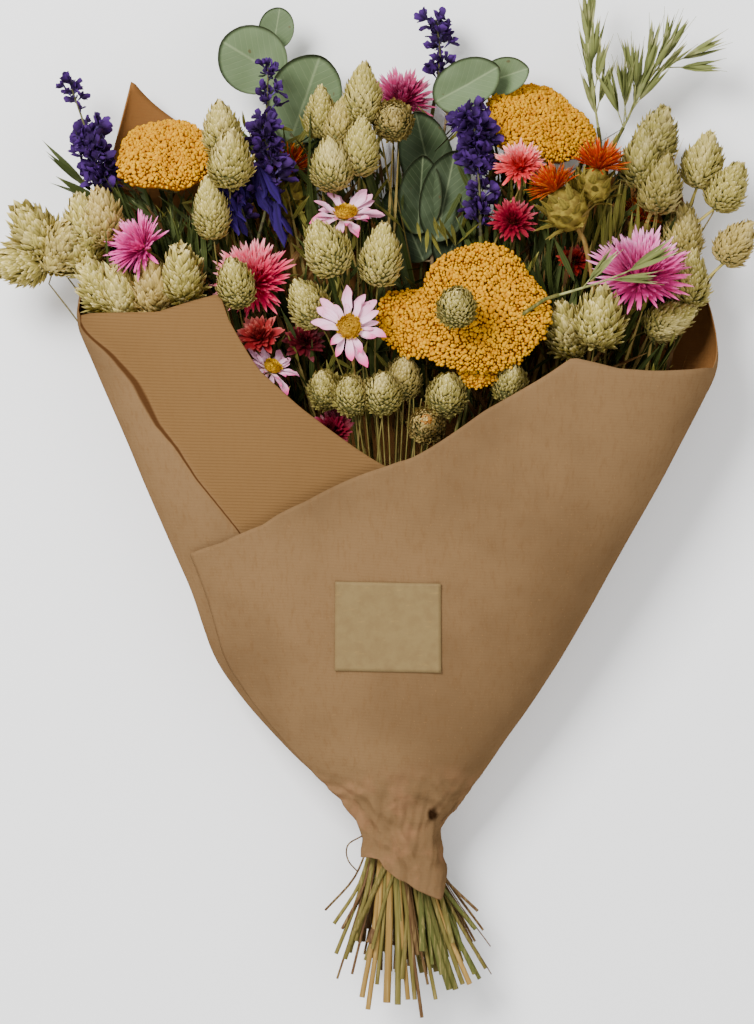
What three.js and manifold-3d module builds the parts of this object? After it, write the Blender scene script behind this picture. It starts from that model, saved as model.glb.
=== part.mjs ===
// A bunch of dried flowers rolled in one sheet of kraft paper, lying on its back on a table.
// Millimetres. +Y runs from the cut stems to the flowers, +X is to the right, +Z is up, away from the table.
// The origin is the middle of the flat part of the paper's back, where the bunch rests.

import * as THREE from "three";
import { mergeVertices } from "three/addons/utils/BufferGeometryUtils.js";
import Module from "manifold-3d";

const wasm = await Module();
wasm.setup();

// ---------------------------------------------------------------- driving dimensions

const GAP = 0.4; // clear space between two pieces that lean on each other
const SPRAY_GAP = 1; // the same below a spray or a spike, whose own stem is three- or four-sided

const PAPER_THICK = 1.2;
const LAYER_STEP = 3.2; // how far the inner lap of the paper lies inside the outer one
const SECTION_POWER = 0.75; // under 1 makes the paper's cross-section a soft-cornered box
const PLEAT_HEIGHT = 0.9;
const PLEAT_COUNT = 7;
const PLEATS_END = -140; // the gathers of the neck have died out at this height

const NECK_Y = -190; // where the twine binds the stems
const NECK_X = 7;
const NECK_Z = 27;
const BUNCH_RADIUS = 14.3; // out to the middle of the outermost stems at the neck
const CORE_RADIUS = 16;
const CORE_FROM = -202;
const CORE_TO = -178;
const TWINE_INSIDE = 16.9;
const TWINE_THICK = 1.8;
const TWINE_TURNS = 3;

const LABEL_WIDE = 58;
const LABEL_HIGH = 49;
const LABEL_THICK = 0.5;
const LABEL_CENTRE = [-1, -81];

const GOLDEN_ANGLE = 2.399963;

// The paper's cross-section at each height: [y, left edge, right edge, top, bottom].
// Where the bottom is below the table, the paper lies flat on it.
const SECTIONS = [
  [-232, -22, 38, 60, 4],
  [-197, -18, 32, 52, 2],
  [-172, -38, 47, 57, -3],
  [-150, -60, 62, 63, -8],
  [-125, -83, 80, 69, -8],
  [-100, -101, 96, 75, -8],
  [-62, -113, 117, 84, -8],
  [0, -140, 152, 96, -8],
  [61, -163, 182, 104, -8],
  [89, -174, 181, 106, -8],
  [150, -166, 170, 106, -8],
  [200, -154, 159, 106, -8],
  [222, -149, 155, 106, -8],
];

// The sheet's upper and lower border, from the free edge of the outer lap to the free edge of the inner one:
// [angle round the bunch in degrees, upper y, lower y]. 0 is right, 90 front, 180 left, -90 back.
const BORDER = [
  [151, -41, -205],
  [133, -35, -208],
  [117, -25, -211],
  [112, -19, -213],
  [105, -12, -216],
  [91, 7, -221],
  [80, 37, -226],
  [65, 66, -230],
  [54, 60, -226],
  [40, 59, -216],
  [12, 61, -206],
  [-9, 100, -202],
  [-21, 150, -202],
  [-31, 198, -202],
  [-45, 176, -203],
  [-62, 154, -203],
  [-81, 141, -204],
  [-99, 150, -204],
  [-112, 177, -203],
  [-132, 197, -202],
  [-154, 222, -202],
  [-163, 167, -202],
  [-174, 122, -202],
  [-183, 90, -203],
  [-196, 91, -203],
  [-209, 91, -203],
  [-227, 91, -203],
  [-243, 101, -203],
  [-248, 60, -203],
  [-255, 40, -202],
  [-269, 6, -202],
];
const PAPER_ROWS = [-197, -172, -150, -90]; // every column of the sheet has a row at these heights
const LAP_STARTS = 60; // the sheet starts to spiral inwards at this angle
const LAP_FULL = -196;

// Canary grass: [x, y, z, turn, rise, length, width] of each head. Turn is clockwise from +Y as seen from above,
// rise is how far the tip points up off the table.
const CANARY_GRASS = {
  canary_grass_far_left: [
    [-194, 134, 52, -35, 20, 33, 24],
    [-202, 120, 48, -95, 10, 31, 22],
    [-182, 126, 55, 20, 30, 30, 22],
    [-171, 125, 54, -25, 10, 30, 20],
    [-167, 138, 58, -15, 10, 30, 20],
    [-157, 140.5, 61, -10, 15, 29, 20],
    [-157, 104, 60, -35, 15, 32, 22],
    [-146, 99, 66, -22, 24, 31, 21],
    [-129, 101, 72, -10, 20, 30, 21],
    [-114, 109, 76, 0, 25, 31, 21],
  ],
  canary_grass_top_left: [
    [-87, 173, 78, 2, 30, 34, 22],
    [-92, 190, 72, -5, 20, 31, 20],
  ],
  canary_grass_left_upper: [[-98, 146.3, 70.8, -6, 15, 36, 18]],
  canary_grass_left_lower: [[-84, 106, 90, -8, 40, 33, 20]],
  canary_grass_centre_upper: [[-34, 124, 100, -24, 25, 34, 25]],
  canary_grass_centre_lower: [[-44, 95, 86, -30, 30, 31, 23]],
  canary_grass_centre_right: [[-5, 120, 94, 6, 20, 37, 21]],
  canary_grass_top_middle: [
    [-32, 171, 70, -5, 20, 31, 23],
    [-38, 201, 50, 0, 10, 30, 17],
    [-27, 194, 54, 5, 10, 30, 18],
    [-15, 210, 58, 3, 10, 36, 20],
    [-16, 181, 64, 4, 10, 34, 20],
    [2, 198, 58, 0, 75, 28, 23],
  ],
  canary_grass_front_low: [
    [-21, 46, 84, -8, 55, 28, 21],
    [-4, 47, 86, 0, 50, 29, 22],
    [7, 55, 73, 5, 45, 29, 21],
    [-35, 49, 76, -12, 50, 28, 20],
  ],
  canary_grass_front_right: [
    [31, 46, 82, 6, 50, 30, 22],
    [20, 30, 76, 0, 78, 26, 21],
  ],
  canary_grass_on_yarrow: [[36, 93, 116, 6, 62, 30, 21]],
  canary_grass_under_yarrow: [[66, 52, 78, 10, 45, 26, 20]],
  canary_grass_right_front: [
    [114, 86, 78, 8, 25, 34, 25],
    [98, 80, 68, -18, 30, 32, 22],
  ],
  canary_grass_right_edge: [
    [153, 87, 52, 66, 10, 31, 19],
    [166, 108, 46, 4, 10, 33, 20],
    [162, 134, 42, 5, 10, 33, 21],
    [173, 174, 46, 14, 10, 32, 22],
    [186, 160, 48, 30, 10, 30, 21],
    [190, 129, 52, 35, 10, 28, 20],
  ],
  canary_grass_right_upper: [
    [139, 174, 58, 4, 15, 33, 22],
    [147, 188, 52, 14, 10, 31, 22],
    [149, 160, 60, 10, 15, 33, 21],
  ],
};

// Side stalks: heads of one bunch that grow from a neighbour's stem, [node, from, to].
const SIDE_STALKS = [
  ["canary_grass_right_edge", [170.5, 163, 44], [163, 143, 41]],
  ["canary_grass_right_edge", [180, 150, 46], [166, 139, 42]],
  ["canary_grass_right_edge", [184, 119, 50], [168, 104, 45]],
];

// Yarrow: each head is a set of flat domes [x, y, radius] round its own middle, on one branching foot.
const YARROW = {
  yarrow_top_left: { at: [-122, 177.5, 50.5, 0, 42], foot: 24, domes: [[0, 0, 29]] },
  yarrow_top_right: { at: [82, 196, 36, 20, 42], foot: 22, domes: [[0, 0, 31]] },
  yarrow_front: {
    at: [50, 92, 82, -10, 80],
    foot: 30,
    domes: [
      [0, 0, 36],
      [-38, -6, 19],
      [-2, -33, 10],
    ],
  },
};

// Strawflowers: [x, y, z, turn, rise, radius, petals in a ring, rings, colour].
const STRAWFLOWERS = {
  strawflower_pink_left: [-139, 129, 76, -30, 60, 17, 12, 3, 0xe27cc0],
  strawflower_pink_crimson: [-75, 109, 64, -20, 65, 20, 12, 3, 0xe0608a],
  strawflower_magenta_right: [137, 111, 66, 5, 50, 25, 14, 3, 0xdf72bd],
  strawflower_crimson_top: [7, 210, 26, 10, 50, 17, 11, 2, 0xb03468],
  strawflower_coral_top: [71.6, 171.6, 68.3, -10, 60, 13, 11, 2, 0xe88a86],
  strawflower_crimson_right: [68, 142, 56, 0, 65, 12, 10, 2, 0xa62742],
  strawflower_red_left: [-70.6, 77.6, 72, -30, 60, 12, 10, 2, 0x9c2f35],
  strawflower_red_shaded: [-47, 75, 60, 10, 60, 11, 10, 2, 0x6d1c28],
  strawflower_red_right: [102, 120, 54, 10, 60, 9.5, 10, 2, 0x7a1d22],
  strawflower_crimson_low: [-32, 26, 62, 0, 65, 12, 10, 2, 0x8a2038],
};

// Daisies: [x, y, z, turn, rise, radius, petals].
const DAISIES = {
  daisy_upper: [-24, 144, 70, 0, 36, 19, 13],
  daisy_middle: [-22, 82, 102, 0, 80, 19, 12],
  daisy_lower: [-65, 60, 72, 25, 40, 15, 13],
};

// Safflowers: bulb [x, y, z, turn, rise, radius], two of them grown together in the first node, and its tuft's radius.
const SAFFLOWERS = [
  {
    bulbs: "safflower_pair_bulbs",
    heads: [
      { tuft: "safflower_pair_left_tuft", at: [97, 148, 72, -30, 18], radius: 12.5, brush: 12 },
      { tuft: "safflower_pair_right_tuft", at: [112, 161, 64, 14, 22], radius: 10.5, brush: 13 },
    ],
  },
  {
    bulbs: "safflower_right_bulb",
    heads: [{ tuft: "safflower_right_tuft", at: [137, 133, 34, 4, 20], radius: 11, brush: 10 }],
  },
  {
    bulbs: "safflower_left_bulb",
    heads: [{ tuft: "safflower_left_tuft", at: [-56, 158, 32, -2, 14], radius: 12.5, brush: 13 }],
  },
];

// Larkspur: each spike is [points of its axis, first floret's share of the length, floret radius at foot and tip].
const LARKSPUR = {
  larkspur_far_left: [[[[-156, 146, 44], [-163, 178, 46], [-177, 219, 38]], 0.25, 7.5, 4.5, 8]],
  larkspur_left_pair: [
    [[[-74, 128, 46], [-82, 150, 54], [-84, 166, 52]], 0.4, 7, 5.5, 4],
    [[[-74, 128, 46], [-66, 160, 62], [-68, 192, 56], [-67, 228, 50]], 0.2, 7, 4.5, 8],
  ],
  larkspur_top: [[[[24.5, 209, 20], [28, 234, 24], [26, 256, 24]], 0.25, 4.5, 4.5, 5]],
  larkspur_centre: [[[[50, 134, 56], [49, 165, 58], [46, 200, 58]], 0.15, 5, 7, 8]],
};

// Eucalyptus: a branch and its leaves [x, y, z, turn, rise of the leaf's face, length, width, fold].
const EUCALYPTUS = {
  eucalyptus_left: {
    branch: [[-44, 168, 10], [-50, 196, 12], [-60, 236, 20]],
    leaves: [
      [-63, 251, 26, 10, 78, 24, 20, 0],
      [-76, 233, 34, -60, 74, 41, 38, 0],
      [-47, 212, 26, 20, 72, 52, 41, 0.1],
      [-58, 182, 12, -40, 80, 34, 28, 0],
      [-31, 187, 11, 50, 80, 30, 26, 0],
    ],
  },
  eucalyptus_right: {
    branch: [[24, 112, 20], [24, 150, 19], [32, 204, 28]],
    leaves: [
      [43, 219, 38, 62, 70, 40, 24, 0.35],
      [64, 224, 33, 74, 66, 28, 19, 0.35],
      [21, 182, 32, -14, 62, 46, 24, 0.3],
      [30, 158, 42, 12, 66, 48, 22, 0.3],
      [11, 140, 27, -24, 70, 40, 24, 0.2],
      [40, 137, 27, 24, 66, 36, 18, 0.3],
    ],
  },
};

// Oats: a stalk and its spikelets [share along the stalk, turn, rise, branch length, spikelet length].
const OATS = {
  oats_top: {
    stalk: [[116, 196, 26], [112, 222, 30], [110, 246, 32]],
    spikelets: [
      [0.25, -24, 10, 9, 24],
      [0.35, 22, 20, 10, 22],
      [0.55, -12, 0, 8, 24],
      [0.7, 12, 12, 8, 22],
      [1, 2, 8, 3, 24],
    ],
  },
  oats_right: {
    stalk: [[130, 196, 26], [140, 216, 30], [150, 230, 34]],
    spikelets: [
      [0.1, -12, 25, 10, 24],
      [0.25, 40, 20, 9, 24],
      [0.4, -4, 30, 10, 22],
      [0.6, 52, 22, 12, 24],
      [0.75, 18, 30, 9, 22],
      [0.9, 68, 16, 18, 24],
      [0.95, 90, 4, 14, 20],
      [1, 34, 10, 5, 24],
    ],
  },
  oats_front: {
    stalk: [[92, 100, 96], [112, 106, 99], [128, 112, 98]],
    spikelets: [
      [0.35, 40, 8, 6, 22],
      [0.7, 88, 4, 5, 24],
      [1, 62, 4, 4, 28],
    ],
  },
};

// Narrow-leaved foliage: twigs, the number of leaves on each, their length, and the spread of their directions.
const FOLIAGE = {
  foliage_left: {
    twigs: [
      [[-116, 92, 32], [-140, 130, 38], [-170, 166, 42]],
      [[-116, 92, 32], [-122, 130, 36], [-134, 152, 36]],
      [[-116, 92, 32], [-106, 126, 44], [-108, 150, 50]],
    ],
    leaves: 5,
    length: 30,
    seed: 3,
  },
  foliage_right: {
    twigs: [
      [[92, 90, 36], [84, 116, 38], [82, 134, 38]],
      [[92, 90, 36], [112, 128, 40], [120, 150, 40]],
    ],
    leaves: 5,
    length: 24,
    seed: 8,
  },
};

const COLOURS = {
  wrapper: 0xa07c58,
  label: 0xb2a073,
  twine: 0xb59a6a,
  stems: 0xa39454,
  canary_grass: 0xafaa73,
  yarrow: 0xd9a010,
  daisy_petals: 0xe7c3d3,
  daisy_disc: 0xd8ae1c,
  safflower_bulbs: 0xa7a352,
  safflower_tuft: 0xcf5a18,
  larkspur: 0x3f2a85,
  eucalyptus: 0x8ca583,
  oats: 0x98a06a,
  foliage: 0x4c5a36,
};

// ---------------------------------------------------------------- small tools

const vec = (p) => new THREE.Vector3(p[0], p[1], p[2]);

// The unit vector at a turn clockwise from +Y and a rise off the table.
function aimOf(turn, rise) {
  const t = THREE.MathUtils.degToRad(turn);
  const r = THREE.MathUtils.degToRad(rise);
  return new THREE.Vector3(Math.sin(t) * Math.cos(r), Math.cos(t) * Math.cos(r), Math.sin(r));
}

// Random numbers from 0 to 1, the same in every run.
function dice(seed) {
  let state = seed * 7919 + 13;
  return () => {
    state = (state * 16807) % 2147483647;
    return state / 2147483647;
  };
}

// Straight-line reading of a table whose rows start with their place along it.
function readTable(table, place) {
  const last = table.length - 1;
  let i = 0;
  while (i < last - 1 && place > table[i + 1][0]) i += 1;
  const share = THREE.MathUtils.clamp((place - table[i][0]) / (table[i + 1][0] - table[i][0]), 0, 1);
  return table[i].slice(1).map((value, k) => value + share * (table[i + 1][k + 1] - value));
}

function closed(geometry) {
  const g = geometry.clone();
  g.deleteAttribute("normal");
  g.deleteAttribute("uv");
  const merged = mergeVertices(g, 1e-3);
  const triVerts = new Uint32Array(merged.index.array);
  const vertProperties = new Float32Array(merged.attributes.position.array);
  return new wasm.Manifold(new wasm.Mesh({ numProp: 3, vertProperties, triVerts }));
}

function fuse(geometries) {
  return wasm.Manifold.union(geometries.map(closed));
}

function geometryOf(solid) {
  const made = solid.getMesh();
  const g = new THREE.BufferGeometry();
  g.setAttribute("position", new THREE.BufferAttribute(new Float32Array(made.vertProperties), 3));
  g.setIndex(new THREE.BufferAttribute(new Uint32Array(made.triVerts), 1));
  return g;
}

// Moves every vertex of a geometry to where the rule puts it.
function reshape(geometry, rule) {
  const place = geometry.attributes.position;
  const p = new THREE.Vector3();
  for (let i = 0; i < place.count; i += 1) {
    p.fromBufferAttribute(place, i);
    const q = rule(p, i);
    place.setXYZ(i, q.x, q.y, q.z);
  }
  return geometry;
}

// Stands a geometry, made along +Z round the origin, at a point and along an aim.
function stand(geometry, at, aim, spin = 0) {
  const turn = new THREE.Quaternion().setFromUnitVectors(new THREE.Vector3(0, 0, 1), aim);
  const about = new THREE.Quaternion().setFromAxisAngle(new THREE.Vector3(0, 0, 1), spin);
  return geometry.applyQuaternion(turn.multiply(about)).translate(at.x, at.y, at.z);
}

// A round stick along a line of points, thinner or thicker as the radii say.
function stick(points, radii, sides) {
  const rings = points.length - 1;
  const across = points[rings].clone().sub(points[0]);
  const flat = Math.abs(across.x) < Math.abs(across.y) + Math.abs(across.z);
  const side = flat ? new THREE.Vector3(1, 0, 0) : new THREE.Vector3(0, 0, 1);
  const geometry = new THREE.CylinderGeometry(1, 1, 1, sides, rings);
  return reshape(geometry, (p) => {
    const ring = Math.round((0.5 - p.y) * rings);
    const ahead = points[Math.min(ring + 1, rings)];
    const behind = points[Math.max(ring - 1, 0)];
    const along = ahead.clone().sub(behind).normalize();
    const b = along.clone().cross(side).normalize();
    const a = b.clone().cross(along);
    const r = radii[0] + ((radii[1] - radii[0]) * ring) / rings;
    return points[ring].clone().addScaledVector(a, p.x * r).addScaledVector(b, p.z * r);
  });
}

// What a stem or a leaf must keep clear of: an egg round a point, long or flat along its aim.
function egg(at, aim, halfLength, halfWidth) {
  return { at: at.clone(), aim: aim.clone(), halfLength, halfWidth };
}

function insideEgg(point, body, margin) {
  const d = point.clone().sub(body.at);
  const along = d.dot(body.aim);
  const out = Math.sqrt(Math.max(0, d.lengthSq() - along * along));
  return (along / (body.halfLength + margin)) ** 2 + (out / (body.halfWidth + margin)) ** 2 < 1;
}

// ---------------------------------------------------------------- the bunch, piece by piece

const bouquet = new THREE.Group();
const bodies = []; // { name, eggs } of what is already placed
const feet = []; // { at, aim, radius, straight, name, own } where a stem carries a head

function add(name, solid, colour, eggs = []) {
  const material = new THREE.MeshStandardMaterial({ color: colour, roughness: 0.85, metalness: 0 });
  const mesh = new THREE.Mesh(geometryOf(solid), material);
  mesh.name = name;
  bouquet.add(mesh);
  bodies.push({ name, eggs });
}

// The eggs that a stem must keep clear of: all but the one it carries, or those that hold its foot, and for the head
// in front of the big yarrow also the dome with the hole.
function obstacles(foot) {
  const mine = (b, body) => (foot.own ? body === foot.own : b.name === foot.name && insideEgg(foot.at, body, 3));
  const holed = (b, i) => foot.name === "canary_grass_on_yarrow" && b.name === "yarrow_front" && i === 0;
  return bodies.flatMap((b) => b.eggs.filter((body, i) => !mine(b, body) && !holed(b, i)));
}

function hits(point, eggs, margin) {
  return eggs.some((body) => insideEgg(point, body, margin));
}

// A turned bloom, its face along +Z. Each row of the profile is [radius, height], or for the rim of a ring of petals
// [radius, height, radius between the petals, height there]. Each ring's petals stand between those of the one below.
function turnedBloom(profile, petals, corners = 1) {
  const perPetal = corners + 1;
  const columns = petals * perPetal;
  const rows = profile.length;
  let ring = 0;
  const rings = profile.map((row) => (row.length > 2 ? (ring += 1) : 0));
  const points = profile.map(([r, z]) => new THREE.Vector2(r, z));
  return reshape(new THREE.LatheGeometry(points, columns), (p, i) => {
    const row = i % rows;
    const column = Math.floor(i / rows) + (corners === 1 ? rings[row] : 0);
    if (rings[row] === 0 || column % perPetal !== 0) return p;
    const [radius, , between, height] = profile[row];
    return new THREE.Vector3((p.x * between) / radius, height, (p.z * between) / radius);
  }).rotateX(Math.PI / 2);
}

// Raises every second vertex of a turned or spherical grid, so that it is covered in small scales or buds.
function raised(geometry, columns, rows, amount) {
  return reshape(geometry, (p, i) => {
    const column = Math.floor(i / rows) % columns;
    const row = i % rows;
    if (row === 0 || row === rows - 1) return p;
    return p.clone().multiplyScalar(1 + ((column + row) % 2 ? amount : -amount));
  });
}

// One head of canary grass, its tip along +Z: an egg covered in overlapping scales.
function canaryHead(length, width) {
  const columns = 8;
  const rows = 5;
  const profile = [];
  for (let j = 0; j < rows; j += 1) {
    const t = (Math.PI * j) / (rows - 1);
    const belly = Math.sin(t) * (1 + 0.22 * Math.cos(t));
    profile.push(new THREE.Vector2(j === 0 || j === rows - 1 ? 0 : (belly * width) / 2, (-Math.cos(t) * length) / 2));
  }
  const geometry = raised(new THREE.LatheGeometry(profile, columns), columns, rows, 0.075);
  return geometry.rotateX(Math.PI / 2);
}

function makeCanaryGrass() {
  for (const [name, heads] of Object.entries(CANARY_GRASS)) {
    const eggs = [];
    const parts = heads.map(([x, y, z, turn, rise, length, width], i) => {
      const at = new THREE.Vector3(x, y, z);
      const aim = aimOf(turn, rise);
      eggs.push(egg(at, aim, length * 0.53, width * 0.55));
      const foot = at.clone().addScaledVector(aim, -length / 2 - GAP);
      const straight = name === "canary_grass_on_yarrow" ? 34 : 8;
      feet.push({ at: foot, aim, radius: 1, straight, name, own: eggs[i] });
      return stand(canaryHead(length, width), at, aim, i * GOLDEN_ANGLE);
    });
    for (const [node, from, to] of SIDE_STALKS) {
      if (node === name) parts.push(stick([vec(to), vec(from)], [1.1, 1.1], 4));
    }
    add(name, fuse(parts), COLOURS.canary_grass, eggs);
  }
}

// One flat dome of yarrow buds, its face along +Z, on a cone of branches down to its foot.
function yarrowDome(radius, depth) {
  const columns = 2 * Math.round(radius * 0.22) + 2;
  const rings = Math.max(3, Math.round(radius * 0.15));
  const profile = [new THREE.Vector2(0, -depth), new THREE.Vector2(3, -depth)];
  profile.push(new THREE.Vector2(radius * 0.72, -radius * 0.17));
  for (let j = 0; j <= rings; j += 1) {
    const t = (Math.PI / 2) * (j / rings);
    profile.push(new THREE.Vector2(j === rings ? 0 : radius * Math.cos(t), radius * 0.3 * Math.sin(t)));
  }
  const rows = profile.length;
  return reshape(new THREE.LatheGeometry(profile, columns), (p, i) => {
    const column = Math.floor(i / rows) % columns;
    const row = i % rows;
    if (row < 3 || row === rows - 1) return p;
    const bump = (column + row) % 2 ? 1 : -1;
    const angle = (2 * Math.PI * column) / columns;
    const uneven = 1 + 0.05 * Math.cos(3 * angle + 1) + 0.03 * Math.cos(5 * angle);
    return new THREE.Vector3(p.x * uneven * (1 + 0.02 * bump), p.y + 0.9 * bump, p.z * uneven * (1 + 0.02 * bump));
  }).rotateX(Math.PI / 2);
}

function makeYarrow() {
  for (const [name, head] of Object.entries(YARROW)) {
    const [x, y, z, turn, rise] = head.at;
    const at = new THREE.Vector3(x, y, z);
    const aim = aimOf(turn, rise);
    const eggs = [];
    const parts = head.domes.map(([dx, dy, radius], i) => {
      const centre = at.clone().add(new THREE.Vector3(dx, dy, -0.06 * Math.hypot(dx, dy)));
      eggs.push(egg(centre, aim, radius * 0.36, radius * 1.06));
      return stand(yarrowDome(radius, i === 0 ? head.foot : radius * 0.6), centre, aim, i);
    });
    const foot = at.clone().addScaledVector(aim, -head.foot - GAP);
    eggs.push(egg(at.clone().addScaledVector(aim, -head.foot * 0.5), aim, head.foot * 0.5, 9));
    let solid = fuse(parts);
    if (name === "yarrow_front") solid = solid.subtract(closed(holeForCanaryGrass()));
    add(name, solid, COLOURS.yarrow, eggs);
    feet.push({ at: foot, aim, radius: 1.9, straight: 10, name });
  }
}

// The plain hole that the stem of the canary grass in front of the big yarrow head passes through.
function holeForCanaryGrass() {
  const [x, y, z, turn, rise, length] = CANARY_GRASS.canary_grass_on_yarrow[0];
  const aim = aimOf(turn, rise);
  const top = new THREE.Vector3(x, y, z).addScaledVector(aim, -length / 2 + 2);
  return stick([top, top.clone().addScaledVector(aim, -60)], [2, 2], 6);
}

// Rings of narrow pointed bracts round a low heart, steeper and shorter from ring to ring.
function strawflower(radius, petals, rings) {
  const profile = [[0, -radius * 0.34]];
  for (let i = 0; i < rings; i += 1) {
    const share = i / rings;
    const reach = radius * (1 - 0.55 * share);
    const rim = radius * (0.02 + 0.6 * share);
    const root = radius * (0.04 + 0.34 * share);
    profile.push([reach, rim, reach * 0.5, root - radius * (i === 0 ? 0.1 : 0.03)]);
    if (i < rings - 1) profile.push([reach * 0.34, root + radius * 0.03]);
  }
  profile.push([0, radius * 0.2]);
  return turnedBloom(profile, petals);
}

function makeStrawflowers() {
  for (const [name, row] of Object.entries(STRAWFLOWERS)) {
    const [x, y, z, turn, rise, radius, petals, rings, colour] = row;
    const at = new THREE.Vector3(x, y, z);
    const aim = aimOf(turn, rise);
    const bloom = stand(strawflower(radius, petals, rings), at, aim);
    const foot = at.clone().addScaledVector(aim, -radius * 0.34 - GAP);
    const eggs = [egg(at.clone().addScaledVector(aim, radius * 0.1), aim, radius * 0.5, radius * 1.12)];
    add(name, closed(bloom), colour, eggs);
    feet.push({ at: foot, aim, radius: 1.1, straight: 8, name });
  }
}

function makeDaisies() {
  for (const [name, [x, y, z, turn, rise, radius, petals]] of Object.entries(DAISIES)) {
    const at = new THREE.Vector3(x, y, z);
    const aim = aimOf(turn, rise);
    const rim = [radius, radius * 0.16];
    const between = [radius * 0.36, radius * 0.03];
    const profile = [[0, -3], [...rim, ...between], [rim[0], rim[1] + 0.8, between[0], between[1] + 0.8], [0, 0.8]];
    add(name + "_petals", closed(stand(turnedBloom(profile, petals, 2), at, aim)), COLOURS.daisy_petals, [
      egg(at.clone().addScaledVector(aim, radius * 0.08), aim, radius * 0.32, radius * 1.08),
    ]);
    const discFoot = 0.8 + GAP + radius * 0.03;
    const disc = daisyDisc(radius * 0.33).translate(0, 0, discFoot);
    const discAt = at.clone().addScaledVector(aim, discFoot + radius * 0.07);
    const discEggs = [egg(discAt, aim, radius * 0.16, radius * 0.34)];
    add(name + "_disc", closed(stand(disc, at, aim)), COLOURS.daisy_disc, discEggs);
    feet.push({ at: at.clone().addScaledVector(aim, -3 - GAP), aim, radius: 1, straight: 8, name: name + "_petals" });
  }
}

// A low dome of tiny florets, flat below.
function daisyDisc(radius) {
  const columns = 10;
  const profile = [
    new THREE.Vector2(0, 0),
    new THREE.Vector2(radius * 0.9, 0),
    new THREE.Vector2(radius, radius * 0.2),
    new THREE.Vector2(radius * 0.72, radius * 0.42),
    new THREE.Vector2(radius * 0.38, radius * 0.5),
    new THREE.Vector2(0, radius * 0.55),
  ];
  const rows = profile.length;
  return reshape(new THREE.LatheGeometry(profile, columns), (p, i) => {
    const row = i % rows;
    if (row < 2 || row === rows - 1) return p;
    const bump = (Math.floor(i / rows) % columns) + row;
    return new THREE.Vector3(p.x, p.y + (bump % 2 ? 0.35 : -0.35), p.z);
  }).rotateX(Math.PI / 2);
}

// A safflower's bulb along +Z, in two rings of leafy bracts.
function safflowerBulb(radius) {
  const profile = [
    [0, -1.05],
    [1.35, -0.35, 0.72, -0.62],
    [0.85, -0.42],
    [1.2, 0.3, 0.92, -0.12],
    [0.96, 0],
    [0.72, 0.62],
    [0.36, 0.98],
    [0, 1.05],
  ];
  return turnedBloom(profile.map((row) => row.map((size) => size * radius)), 6);
}

// A safflower's brush of narrow florets, opening along +Z from its foot at the origin.
function safflowerTuft(radius) {
  const profile = [
    [0, 0],
    [0.34, 0.02],
    [1, 0.5, 0.42, 0.2],
    [0.34, 0.3],
    [0.7, 0.86, 0.34, 0.44],
    [0, 0.5],
  ];
  return turnedBloom(profile.map((row) => row.map((size) => size * radius)), 9);
}

function makeSafflowers() {
  for (const plant of SAFFLOWERS) {
    const bulbs = [];
    const eggs = [];
    for (const { tuft, at: place, radius, brush } of plant.heads) {
      const at = vec(place);
      const aim = aimOf(place[3], place[4]);
      bulbs.push(stand(safflowerBulb(radius), at, aim));
      eggs.push(egg(at, aim, radius * 1.1, radius * 1.45));
      feet.push({ at: at.clone().addScaledVector(aim, -radius * 1.05 - GAP), aim, radius: 1.6, straight: 8, name: plant.bulbs });
      const brushFoot = radius * 1.05 + GAP;
      const tuftAt = at.clone().addScaledVector(aim, brushFoot + brush * 0.42);
      const florets = stand(safflowerTuft(brush), at.clone().addScaledVector(aim, brushFoot), aim);
      add(tuft, closed(florets), COLOURS.safflower_tuft, [egg(tuftAt, aim, brush * 0.55, brush * 1.05)]);
    }
    add(plant.bulbs, fuse(bulbs), COLOURS.safflower_bulbs, eggs);
  }
}

// A trumpet with five corners, opening along +Z from its spur.
function floret(radius) {
  const depth = radius * 1.3;
  return new THREE.ConeGeometry(radius, depth, 5, 1).rotateX(-Math.PI / 2).translate(0, 0, depth / 2 - 1.8);
}

function makeLarkspur() {
  for (const [name, spikes] of Object.entries(LARKSPUR)) {
    const parts = [];
    const eggs = [];
    for (const [line, start, footRadius, tipRadius, count] of spikes) {
      const axis = new THREE.CatmullRomCurve3(line.map(vec));
      parts.push(stick(axis.getPoints(3), [1.5, 1.1], 3));
      eggs.push(...axis.getPoints(8).map((p) => egg(p, axis.getTangentAt(0.5), 7, 1.5)));
      for (let i = 0; i < count; i += 1) {
        const share = start + (1 - start) * (i / (count - 1));
        const at = axis.getPointAt(share);
        const along = axis.getTangentAt(share);
        const radius = footRadius + (tipRadius - footRadius) * share;
        const side = new THREE.Vector3(Math.cos(i * GOLDEN_ANGLE), 0.35, Math.sin(i * GOLDEN_ANGLE));
        const aim = side.addScaledVector(along, 0.6).normalize();
        parts.push(stand(floret(radius), at, aim, i));
        eggs.push(egg(at.clone().addScaledVector(aim, radius * 0.7), aim, radius * 0.9, radius));
      }
    }
    const first = new THREE.CatmullRomCurve3(spikes[0][0].map(vec));
    const aim = first.getTangentAt(0);
    feet.push({ at: first.getPointAt(0).addScaledVector(aim, -SPRAY_GAP), aim, radius: 1.3, straight: 8, name });
    add(name, fuse(parts), COLOURS.larkspur, eggs);
  }
}

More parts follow.
